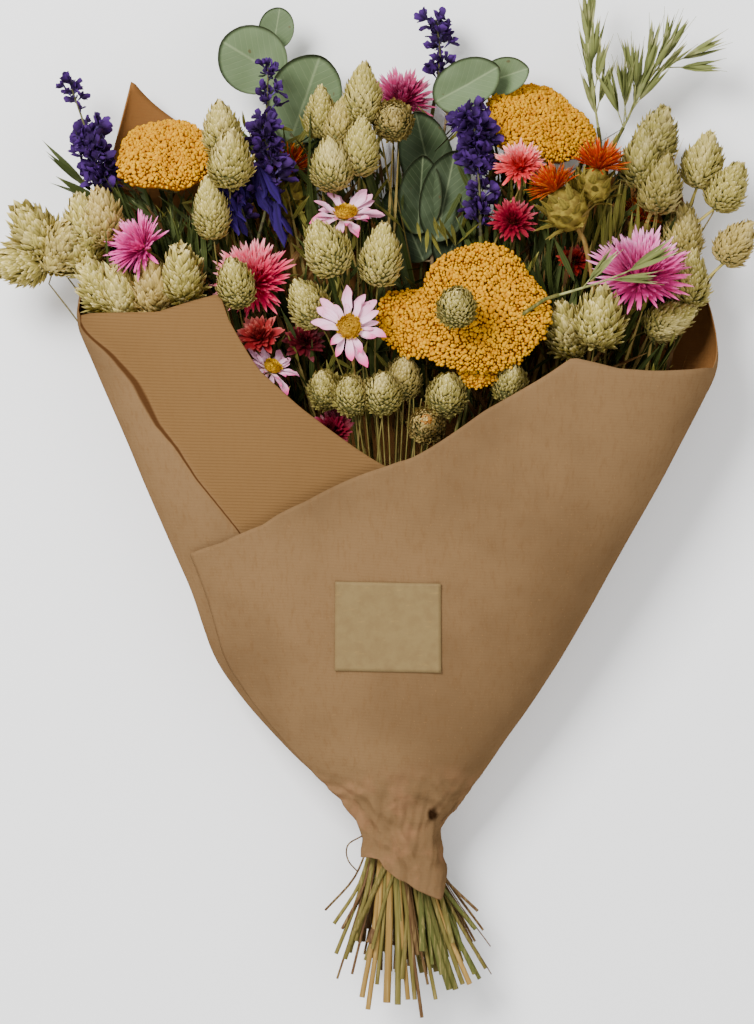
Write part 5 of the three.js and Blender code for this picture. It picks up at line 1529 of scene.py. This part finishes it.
def make_strawflowers():
    """Papery bracts in rings round a small heart, with painted shade on one side of each flower."""
    heart = plain_material("Strawflower heart", rgb(150, 110, 50), rgb(90, 50, 30), 900)
    for number, (name, (at, count, broad, side, colours)) in enumerate(STRAWFLOWERS.items()):
        *middle, turn, rise, radius = at
        tail = name.removeprefix("strawflower_")
        place = standing(middle, aim_of(turn, rise))
        rows = [(0, broad * 0.5), (0.25, broad * 0.8), (0.6, broad * 1.15), (0.85, broad * 0.75), (1, 0.004)]
        bract = petal("bract", rows, keel=-0.3, cup=0.35, curl=-0.05)
        bloom = seed_head(
            bract, bract_material("Bracts " + tail, *(rgb(*tint) for tint in colours)), count,
            100 + number, reach=(radius * 0.22, radius * 0.12), span=(0.1, 1.7), lean=(0.05, 1.4),
            sizes=(radius * 0.55, radius * 0.88), jitter=0.34, flatness=0.3,
        )
        towards = np.array([math.sin(math.radians(side)), math.cos(math.radians(side))])
        # The side of the flower that gets painted shade.
        shade_by_place(bloom, "side", lambda p: ramp((p[:, :2] @ towards) / (radius * MM), -0.35, 0.45))
        bloom.data.transform(place)
        base = turned("strawflower_heart", STRAWFLOWER_HEART, 14, heart, place, radius, radius)
        slot = "strawflower_pink" if tail in PINK_FLOWERS else "strawflower_red"
        slot = "strawflower_crimson" if tail in CRIMSON_FLOWERS else slot
        settle(name + "_bloom", [bloom, base], [name])
        drop(bract)


def make_daisies(flowers):
    """Two rings of ray petals in a green cup, and a domed disc of florets."""
    thin = petal_material(flowers.petal, flowers.petal_pink)
    # The disc florets darken towards their roots: painted shade between them.
    granular = floret_material("Daisy disc florets", flowers.disc, rgb(150, 104, 20))
    bed = plain_material("Daisy disc bed", rgb(170, 130, 30), rgb(120, 84, 20), 700)
    calyx = plain_material("Daisy calyx", rgb(150, 140, 90), rgb(110, 100, 60), 400)
    rows = [(0, 0.05), (0.3, 0.12), (0.6, 0.165), (0.8, 0.14), (0.92, 0.08), (1.0, 0.015)]
    ray = petal("ray", rows, 8, keel=-0.3, cup=0.5, curl=0.05)
    bud = petal("disc_floret", [(0, 0.3), (0.6, 0.42), (1, 0.2)], keel=0.6, cup=-0.5)
    for number, (name, row) in enumerate(DAISIES.items()):
        x, y, z, turn, rise, radius, petals = row
        place = standing((x, y, z), aim_of(turn, rise))
        parts = []
        for ring, (count, lean, size) in enumerate([(petals, 1.45, 0.74), (petals + 2, 1.25, 0.64)]):
            layer = seed_head(
                ray, thin, count, 300 + number * 4 + ring, reach=(radius * 0.26, 0.1), span=(1.5, 1.6),
                lean=(lean - 0.06, lean + 0.06), sizes=(radius * size, radius * size * 1.03),
                jitter=0.42,
                place=Matrix.Translation((0, 0, ring * 0.6 * MM)) @ Matrix.Rotation(ring * 0.9, 4, "Z"),
            )
            crumpled(layer, 7.0, 1.5, ring + 2 * number)
            shade_by_place(layer, "side", lambda p: 0.4 + 0.6 * ramp(-p[:, 1] / (radius * MM), -0.2, 0.5))
            layer.data.transform(place)
            parts.append(layer)
        cup = [(0.02 / radius, -2.8), (0.18, -2.2), (0.26, -0.6), (0.28, 0.4), (0.02 / radius, 0.6)]
        parts.append(turned("daisy_cup", cup, 12, calyx, place, radius))
        settle(name + "_rays", parts, [name + "_petals"])
        disc_place = place @ Matrix.Translation((0, 0, (1.2 + radius * 0.03) * MM))
        disc = seed_head(
            bud, granular, 110, 340 + number, reach=(radius * 0.31, radius * 0.15), span=(0.02, 1.5),
            lean=(0.0, 0.7), sizes=(radius * 0.075, radius * 0.1), jitter=0.3, place=disc_place,
            flatness=0.8,
        )
        mound = turned("disc_mound", DAISY_MOUND, 16, bed, disc_place, radius, radius)
        settle(name + "_florets", [disc, mound], [name + "_disc"])
    drop(ray, bud)


def make_safflowers(flowers):
    """Spiny bracts round a bulb, and a brush of thin florets on its top."""
    tints = (flowers.bulb, rgb(92, 82, 34), rgb(176, 150, 84))
    leafy = scale_material("Safflower bracts", *tints, rough=0.6, tip_from=0.75, uneven=0.6)
    tints = (flowers.tuft, rgb(170, 60, 14), rgb(232, 148, 40))
    brush = scale_material("Safflower florets", *tints, rough=0.7, tip_from=0.8, uneven=0.6)
    body = plain_material("Safflower bulb", flowers.bulb, rgb(104, 86, 36), 260)
    bract = petal("safflower_bract", SPINY_BRACT, keel=0.3, curl=0.22)
    rows = [(0, 0.02), (0.5, 0.028), (0.8, 0.04), (1, 0.008)]
    thread = petal("safflower_floret", rows, keel=1.0, curl=0.14)
    for number, (bulbs, heads) in enumerate(SAFFLOWERS.items()):
        parts = []
        for i, head in enumerate(heads):
            x, y, z, turn, rise = head["at"]
            aim = aim_of(turn, rise)
            radius, long_brush = head["radius"], head["brush"]
            place = standing((x, y, z), aim)
            cover = seed_head(
                bract, leafy, 34, 400 + number * 5 + i, reach=(radius * 0.9, radius * 0.95),
                span=(0.65, 2.6), lean=(-0.15, 1.35), sizes=(radius * 0.7, radius * 0.95), jitter=0.22,
                place=place,
            )
            parts += [cover, turned("bulb", SAFFLOWER_BULB, 18, body, place, radius, radius)]
            tuft = seed_head(
                thread, brush, 190, 420 + number * 5 + i, reach=(long_brush * 0.24, long_brush * 0.08),
                span=(0.05, 1.5), lean=(0.1, 1.15), sizes=(long_brush * 1.1, long_brush * 1.0),
                jitter=0.34, place=standing(Vector((x, y, z)) + aim * (radius * 1.02), aim),
                flatness=1.0,
            )
            settle(head["tuft"] + "_florets", [tuft], [head["tuft"]])
        settle(bulbs + "_bracts", parts, [bulbs])
    drop(bract, thread)


def larkspur_floret(ray, spur, velvet, seed, radius):
    """A dried floret: crumpled petals round a spur, opening along +Z."""
    bloom = seed_head(
        ray, velvet, 9, seed, reach=(radius * 0.14, radius * 0.1), span=(0.8, 1.7), lean=(0.3, 1.2),
        sizes=(radius * 0.9, radius * 1.15), jitter=0.7,
    )
    tube = turned("spur", [(0.06, -0.75), (0.13, -0.2), (0.2, 0.3)], 6, spur, None, radius, radius)
    return [crumpled(bloom, 3.0, radius * 0.26, seed), tube]


def make_larkspur(flowers):
    """Spikes of crumpled florets, and the large drooping petals of the front pair."""
    velvet = floret_material("Larkspur petals", flowers.larkspur, flowers.larkspur_deep, 0.75, 0.7)
    spur = plain_material("Larkspur spurs", rgb(84, 70, 118), flowers.larkspur_deep, 500)
    stalk = plain_material("Larkspur stalk", rgb(96, 94, 60), rgb(58, 54, 40), 300)
    tints = (rgb(42, 18, 88), rgb(24, 10, 50), rgb(50, 28, 98))
    smooth = scale_material("Larkspur lobes", *tints, rough=0.7, tip_from=0.8, uneven=0.7)
    rows = [(0, 0.06), (0.25, 0.16), (0.6, 0.24), (0.85, 0.2), (0.96, 0.1), (1, 0.02)]
    drooping = petal("lobe", rows, 6, cup=0.5, curl=-0.1)
    rows = [(0, 0.08), (0.3, 0.2), (0.55, 0.3), (0.8, 0.28), (0.93, 0.16), (1, 0.05)]
    ray = petal("larkspur_ray", rows, 4, cup=0.5, curl=-0.25)
    for number, (name, spikes) in enumerate(LARKSPUR.items()):
        parts, lines = [], []
        for k, (axis, *groups) in enumerate(spikes):
            line = smooth_line(axis, 20)
            lines.append((line, 1.1, 0.5, 0.5, 0.4))
            florets = [(a + (b - a) * i / (n - 1), radius) for a, b, radius, n in groups for i in range(n)]
            for i, (share, radius) in enumerate(florets):
                at, forward = along(line, share)
                out = Vector((math.cos(i * GOLDEN_ANGLE), 0.35, math.sin(i * GOLDEN_ANGLE)))
                aim = (out + forward * 0.6).normalized()
                place = standing(at + out * (radius * (0.2 + 0.35 * (i % 3))), aim, i)
                for part in larkspur_floret(ray, spur, velvet, number * 90 + k * 50 + i, radius * 0.8):
                    part.data.transform(place)
                    parts.append(part)
        if name == "larkspur_left_pair":
            parts.append(crumpled(scatter(drooping, smooth, drooping_rows()), 4.5, 2.6))
        parts.append(rods(lines, stalk, 5))
        settle(name + "_spikes", parts, [name])
    drop(ray, drooping)


def drooping_rows():
    """Where each crumpled lobe of the large drooping petals hangs, for scatter."""
    roll = random.Random(5)
    rows = []
    for *at, turn, rise, tall in LARKSPUR_PETALS:
        for _ in range(9):
            root = Vector(at) + Vector((roll.uniform(-3.5, 3.5), roll.uniform(-5, 5), roll.uniform(-3, 3)))
            aim = aim_of(turn + roll.uniform(-13, 13), rise + roll.uniform(-12, 12))
            spin, size = roll.uniform(0.9, 2.2), tall * roll.uniform(0.5, 1)
            rows.append((root, aim, spin, size, 0.4, roll.random()))
    return rows


# ---------------------------------------------------------------- leaves


def broad_leaf(tall, wide, fold, age, waxy):
    """A eucalyptus leaf: a dish folded along its rib, its stalk at the origin and its tip at +Y."""
    rings, sides = 9, 36
    points, values = [], {"across": [], "along": [], "rim": [], "age": []}
    for thick in (0.0, 0.7):
        for i in range(rings):
            r = i / (rings - 1)
            for j in range(sides):
                a = 2 * math.pi * j / sides
                u, v = r * math.cos(a) / 2, r * math.sin(a) / 2
                wave = 0.02 * math.sin(3 * a + 1) * r**3 * tall + 0.012 * math.sin(7 * a) * r**4 * tall
                dish = 0.06 * (r - 1) * tall + wave + fold * math.sqrt(u * u + 0.0006) * wide
                z = dish + thick * (1 - 0.6 * r**6)
                points.append((u * wide * MM, (v + 0.5) * tall * MM, z * MM))
                for key, value in zip(values, (u + 0.5, v + 0.5, r, age)):
                    values[key].append(value)
    total = rings * sides
    faces = grid_faces(rings, sides, around=True, flip=True)
    faces += grid_faces(rings, sides, around=True, start=total)
    for j in range(sides):
        i, k = total - sides + j, total - sides + (j + 1) % sides
        faces.append([i, k, k + total, i + total])
    return linked("leaf", new_mesh("leaf", points, faces, values), waxy)


def make_eucalyptus(flowers):
    """Branches with large round leaves, each on a short stalk from the nearest place of its branch."""
    waxy = leaf_material(flowers.eucalyptus, flowers.eucalyptus_old)
    bark = plain_material("Eucalyptus twig", rgb(128, 108, 78), rgb(92, 74, 50), 300)
    for name, spray in EUCALYPTUS.items():
        axis = smooth_line(spray["branch"], 16)
        lines, parts = [(axis, 1.3, 0.7, 0.5, 0.4)], []
        for x, y, z, turn, rise, tall, wide, fold, age in spray["leaves"]:
            tip = aim_of(turn, 90 - rise)
            face = Vector((-tip.x * tip.z, -tip.y * tip.z, tip.x**2 + tip.y**2)).normalized()
            side = tip.cross(face)
            foot = Vector((x, y, z)) - tip * (tall / 2)
            turned_to = Matrix((side, tip, face)).transposed().to_4x4()
            leaf = broad_leaf(tall, wide, fold, age, waxy)
            leaf.data.transform(Matrix.Translation(foot * MM) @ turned_to)
            parts.append(leaf)
            hold = min(axis, key=lambda p: (p - foot).length)
            line = [hold, hold.lerp(foot, 0.5), foot, foot + tip * (tall * 0.1)]
            lines.append((smooth_line(line, 7), 0.7, 0.55, 0.5, 0.4))
        parts.append(rods(lines, bark))
        settle(name + "_leaves", parts, [name])


def blade_mesh(flat=False):
    """A narrow pointed blade or husk one metre long."""
    rows = [(0, 0.02), (0.15, 0.08), (0.4, 0.115), (0.65, 0.085), (0.85, 0.035), (1, 0.003)]
    return petal("blade", rows, keel=0.1 if flat else 0.9, curl=0.05)


def make_oats(flowers):
    """Sprays of hanging spikelets, each of five husks and two awns."""
    tints = (flowers.oats, rgb(108, 118, 66), rgb(196, 190, 140))
    green = scale_material("Oat husks", *tints, rough=0.7, tip_from=0.75, uneven=0.4)
    straw = plain_material("Oat stalks", rgb(150, 150, 96), rgb(110, 112, 64), 300)
    husk = blade_mesh()
    for number, (name, spray) in enumerate(OATS.items()):
        roll = random.Random(50 + number)
        axis = smooth_line(spray["stalk"], 20)
        lines, husks = [(axis, 0.8, 0.5, 0.5, 0.4)], []
        for i, (share, turn, rise, branch, tall) in enumerate(spray["spikelets"]):
            start, _ = along(axis, share)
            aim = aim_of(turn, rise)
            to = start + aim * branch
            line = smooth_line([start, start.lerp(to, 0.5) + Vector((0, 0, 0.8)), to], 6)
            lines.append((line, 0.4, 0.35, 0.5, 0.4))
            for spread, back in ((-8, 0.6), (7, 1.6), (0, 0.0), (-4, -2), (4, -3)):
                outer = aim_of(turn + spread + roll.uniform(-3, 3), rise + spread / 3 + roll.uniform(-6, 6))
                size = tall * (1 if back > 0 else 0.86)
                husks.append((to - aim * back, outer, i + spread, size, 0.6, roll.random()))
            for spread in (-9, 8):
                awn = aim_of(turn + spread, rise + roll.uniform(-6, 8))
                end = to + awn * (tall * 1.12)
                lines.append(([to + awn * (tall * 0.4), to + awn * (tall * 0.8), end], 0.22, 0.1, 0.5, 0.4))
        parts = [scatter(husk, green, husks), rods(lines, straw, 5)]
        settle(name + "_spray", parts, [name])
    drop(husk)


def make_foliage(flowers):
    """Twigs with narrow leaves all round them."""
    tints = (flowers.foliage, rgb(58, 68, 40), rgb(134, 138, 96))
    green = scale_material("Narrow leaves", *tints, rough=0.65, tip_from=0.8, uneven=0.5)
    bark = plain_material("Foliage twigs", rgb(96, 84, 56), rgb(64, 54, 36), 300)
    shape = blade_mesh(flat=True)
    for name, bush in FOLIAGE.items():
        roll = random.Random(bush["seed"])
        leaves, lines = [], []
        for twig in bush["twigs"]:
            axis = smooth_line(twig, 20)
            lines.append((axis, 1.0, 0.6, 0.5, 0.9))
            for i in range(bush["leaves"]):
                at, forward = along(axis, 0.12 + 0.88 * i / (bush["leaves"] - 1))
                side = forward.cross(Vector((0, 0, 1))).normalized()
                up = side.cross(forward)
                opening, round_axis = roll.uniform(0.25, 0.75), roll.uniform(0, 2 * math.pi)
                aim = forward * math.cos(opening) + side * (math.sin(opening) * math.cos(round_axis))
                aim += up * (math.sin(opening) * math.sin(round_axis) * 0.6)
                size = bush["length"] * roll.uniform(0.7, 1.2)
                if pokes_out(at, at + aim.normalized() * size):
                    continue
                leaves.append((at, aim.normalized(), roll.uniform(0, 6.3), size, 0.62, roll.random()))
        settle(name + "_leaves", [scatter(shape, green, leaves), rods(lines, bark, 5)], [name])
    drop(shape)


def pokes_out(root, tip):
    """Whether a leaf would show through a yarrow head, the table or the paper."""
    for share in (0.0, 0.5, 1.0):
        p = root.lerp(tip, share)
        for head in YARROW.values():
            x, y, z, *way = head["at"]
            for dx, dy, radius in head["domes"]:
                off = p - Vector((x + dx, y + dy, z))
                high = off.dot(aim_of(*way))
                if high > -0.5 * radius and (off - aim_of(*way) * high).length < radius + 3:
                    return True
        rim = np.interp(p.z, *RIM_HEIGHTS)
        if p.z < 3 or p.y < rim and beyond_paper(p, -6) > 1:
            return True
    return False


def make_filling(flowers):
    """Leaves and thin stems that fill the bunch between its heads."""
    looks = [
        ("green", "Filling leaves", flowers.foliage, rgb(34, 42, 16), rgb(110, 116, 62), 0.7, 0.85, 0.6),
        ("olive", "Filling bracts", rgb(120, 114, 46), rgb(62, 62, 24), rgb(168, 156, 84), 0.75, 0.7, 0.7),
        ("brown", "Filling husks", rgb(96, 66, 32), rgb(50, 34, 18), rgb(140, 110, 62), 0.75, 0.7, 0.7),
        ("straw", "Filling straws", rgb(150, 128, 70), rgb(96, 82, 40), rgb(176, 156, 96), 0.7, 0.8, 0.6),
    ]
    kinds = {kind: scale_material(*look) for kind, *look in looks}
    leaves = {kind: [] for kind in kinds}
    roll = random.Random(21)

    def add(kind, root, aim, size, broad):
        leaves[kind].append((root, aim, roll.uniform(0, 6.3), size, broad, roll.random()))

    for kind, count, xs, ys, zs, stray, rises, sizes, broad in FILLING:
        left = count
        while left:
            root = Vector((roll.uniform(*xs), roll.uniform(*ys), roll.uniform(*zs)))
            size = roll.uniform(*sizes)
            top = float(np.interp(root.x, *zip(*CROWN)))
            own = math.degrees(math.atan2(root.x - NECK[0], root.y - NECK[1])) * 0.8
            aim = aim_of(own + roll.gauss(0, stray), roll.uniform(*rises))
            if root.y + aim.y * size > top or abs(root.x + aim.x * size) > FILLING_REACH:
                continue
            tip = root + aim * size
            left_x, right_x, low_y, high_y = HANGING
            if left_x < tip.x < right_x and low_y < tip.y < high_y and tip.z > HANGING_FROM:
                continue
            if root.y > FILLING_BACK[0]:
                root.z = min(root.z, FILLING_BACK[1])
            if pokes_out(root, root + aim * size):
                continue
            add(kind, root, aim, size, broad)
            left -= 1
    for x, y, z, spread, turn, count, shortest, longest, broad, kind in LONG_LEAVES:
        for _ in range(count):
            stray_x, stray_y = roll.gauss(0, spread / 2), roll.gauss(0, spread / 2)
            root = Vector((x + stray_x, y + stray_y, z + roll.uniform(-8, 6)))
            aim = aim_of(turn + roll.gauss(0, 12), roll.uniform(-12, 8))
            size = roll.uniform(shortest, longest)
            if not pokes_out(root, root + aim * size):
                add(kind, root, aim, size, broad)
    shape = blade_mesh(flat=True)
    parts = [scatter(shape, kinds[kind], rows) for kind, rows in leaves.items()]
    settle("filling_leaves", parts, [])
    drop(shape)


# ---------------------------------------------------------------- stage


def make_stage():
    """A pale floor, soft lights and the camera straight above the bunch."""
    mesh = new_mesh("floor", [(-3, -3, 0), (3, -3, 0), (3, 3, 0), (-3, 3, 0)], [[0, 1, 2, 3]], {})
    pale, tree = new_material("Pale floor", 0.9, 0.5)
    tree.nodes["Principled BSDF"].inputs["Base Color"].default_value = (0.95, 0.95, 0.95, 1)
    floor = linked("floor", mesh, pale)
    floor.location.z = -0.0002  # a little below the paper, which lies at 0
    scene = bpy.context.scene
    for name, place, size, power in LIGHTS:
        light = bpy.data.lights.new(name, "AREA")
        light.size = size
        light.energy = power
        lamp = bpy.data.objects.new(name, light)
        lamp.location = place
        lamp.rotation_euler = (Vector((0, 0, 0.05)) - Vector(place)).to_track_quat("-Z", "Y").to_euler()
        scene.collection.objects.link(lamp)
    scene.world = bpy.data.worlds.new("Studio")
    scene.world.use_nodes = True
    sky = scene.world.node_tree.nodes["Background"]
    sky.inputs["Color"].default_value = (1, 1, 1, 1)
    sky.inputs["Strength"].default_value = SKY_STRENGTH
    camera = bpy.data.objects.new("camera", bpy.data.cameras.new("camera"))
    camera.location = CAMERA_AT
    camera.data.lens = CAMERA_LENS
    camera.data.clip_end = 20
    scene.collection.objects.link(camera)
    scene.camera = camera


# ---------------------------------------------------------------- operators and panel


class BOUQUET_OT_wrapper(Operator):
    """Makes the rolled sheet of kraft paper"""

    bl_idname = "bouquet.wrapper"
    bl_label = "Kraft paper"

    def execute(self, context):
        make_wrapper(context.scene.bouquet_paper)
        return {"FINISHED"}


class BOUQUET_OT_label(Operator):
    """Makes the bare label on the paper"""

    bl_idname = "bouquet.label"
    bl_label = "Label"

    def execute(self, context):
        make_label(context.scene.bouquet_paper)
        return {"FINISHED"}


class BOUQUET_OT_twine(Operator):
    """Makes the twine that binds the stems"""

    bl_idname = "bouquet.twine"
    bl_label = "Twine"

    def execute(self, context):
        make_twine(context.scene.bouquet_paper)
        return {"FINISHED"}


class BOUQUET_OT_stems(Operator):
    """Makes the stems, cut below the neck and running up to the heads"""

    bl_idname = "bouquet.stems"
    bl_label = "Stems"

    def execute(self, context):
        make_stems(context.scene.bouquet_stems)
        return {"FINISHED"}


class BOUQUET_OT_canary_grass(Operator):
    """Makes the heads of canary grass"""

    bl_idname = "bouquet.canary_grass"
    bl_label = "Canary grass"

    def execute(self, context):
        make_canary_grass(context.scene.bouquet_flowers)
        return {"FINISHED"}


class BOUQUET_OT_yarrow(Operator):
    """Makes the flat heads of yarrow"""

    bl_idname = "bouquet.yarrow"
    bl_label = "Yarrow"

    def execute(self, context):
        make_yarrow(context.scene.bouquet_flowers)
        return {"FINISHED"}


class BOUQUET_OT_strawflowers(Operator):
    """Makes the strawflowers from their papery bracts"""

    bl_idname = "bouquet.strawflowers"
    bl_label = "Strawflowers"

    def execute(self, context):
        make_strawflowers()
        return {"FINISHED"}


class BOUQUET_OT_daisies(Operator):
    """Makes the daisies' petals and discs"""

    bl_idname = "bouquet.daisies"
    bl_label = "Daisies"

    def execute(self, context):
        make_daisies(context.scene.bouquet_flowers)
        return {"FINISHED"}


class BOUQUET_OT_safflowers(Operator):
    """Makes the safflowers' bulbs and brushes"""

    bl_idname = "bouquet.safflowers"
    bl_label = "Safflowers"

    def execute(self, context):
        make_safflowers(context.scene.bouquet_flowers)
        return {"FINISHED"}


class BOUQUET_OT_larkspur(Operator):
    """Makes the spikes of larkspur"""

    bl_idname = "bouquet.larkspur"
    bl_label = "Larkspur"

    def execute(self, context):
        make_larkspur(context.scene.bouquet_flowers)
        return {"FINISHED"}


class BOUQUET_OT_eucalyptus(Operator):
    """Makes the branches of eucalyptus"""

    bl_idname = "bouquet.eucalyptus"
    bl_label = "Eucalyptus"

    def execute(self, context):
        make_eucalyptus(context.scene.bouquet_flowers)
        return {"FINISHED"}


class BOUQUET_OT_oats(Operator):
    """Makes the sprays of oats"""

    bl_idname = "bouquet.oats"
    bl_label = "Oats"

    def execute(self, context):
        make_oats(context.scene.bouquet_flowers)
        return {"FINISHED"}


class BOUQUET_OT_foliage(Operator):
    """Makes the narrow-leaved foliage"""

    bl_idname = "bouquet.foliage"
    bl_label = "Foliage"

    def execute(self, context):
        make_foliage(context.scene.bouquet_flowers)
        return {"FINISHED"}


class BOUQUET_OT_filling(Operator):
    """Makes the leaves and thin stems between the heads"""

    bl_idname = "bouquet.filling"
    bl_label = "Filling leaves"

    def execute(self, context):
        make_filling(context.scene.bouquet_flowers)
        return {"FINISHED"}


class BOUQUET_OT_stage(Operator):
    """Makes the floor, the lights and the camera"""

    bl_idname = "bouquet.stage"
    bl_label = "Stage"

    def execute(self, context):
        make_stage()
        return {"FINISHED"}


PIECES = [
    BOUQUET_OT_wrapper,
    BOUQUET_OT_label,
    BOUQUET_OT_twine,
    BOUQUET_OT_stems,
    BOUQUET_OT_canary_grass,
    BOUQUET_OT_yarrow,
    BOUQUET_OT_strawflowers,
    BOUQUET_OT_daisies,
    BOUQUET_OT_safflowers,
    BOUQUET_OT_larkspur,
    BOUQUET_OT_eucalyptus,
    BOUQUET_OT_oats,
    BOUQUET_OT_foliage,
    BOUQUET_OT_filling,
    BOUQUET_OT_stage,
]
SETTINGS = {
    "bouquet_paper": BouquetPaper,
    "bouquet_stems": BouquetStems,
    "bouquet_flowers": BouquetFlowers,
}


class BOUQUET_PT_sidebar(Panel):
    """Lists the bouquet's pieces and their sizes and colours"""

    bl_idname = "BOUQUET_PT_sidebar"
    bl_label = "Dried flower bouquet"
    bl_space_type = "VIEW_3D"
    bl_region_type = "UI"
    bl_category = "Bouquet"

    def draw(self, context):
        for piece in PIECES:
            self.layout.operator(piece.bl_idname)
        for key, group in SETTINGS.items():
            box = self.layout.box()
            for name in group.__annotations__:
                box.prop(getattr(context.scene, key), name)


def register():
    for kind in (*SETTINGS.values(), *PIECES, BOUQUET_PT_sidebar):
        bpy.utils.register_class(kind)
    for key, group in SETTINGS.items():
        setattr(bpy.types.Scene, key, PointerProperty(type=group))


def unregister():
    for key in SETTINGS:
        delattr(bpy.types.Scene, key)
    for kind in (BOUQUET_PT_sidebar, *reversed(PIECES), *SETTINGS.values()):
        bpy.utils.unregister_class(kind)


def main():
    register()
    for piece in PIECES:
        group, _, name = piece.bl_idname.partition(".")
        getattr(getattr(bpy.ops, group), name)()
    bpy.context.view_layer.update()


if __name__ == "__main__":
    main()
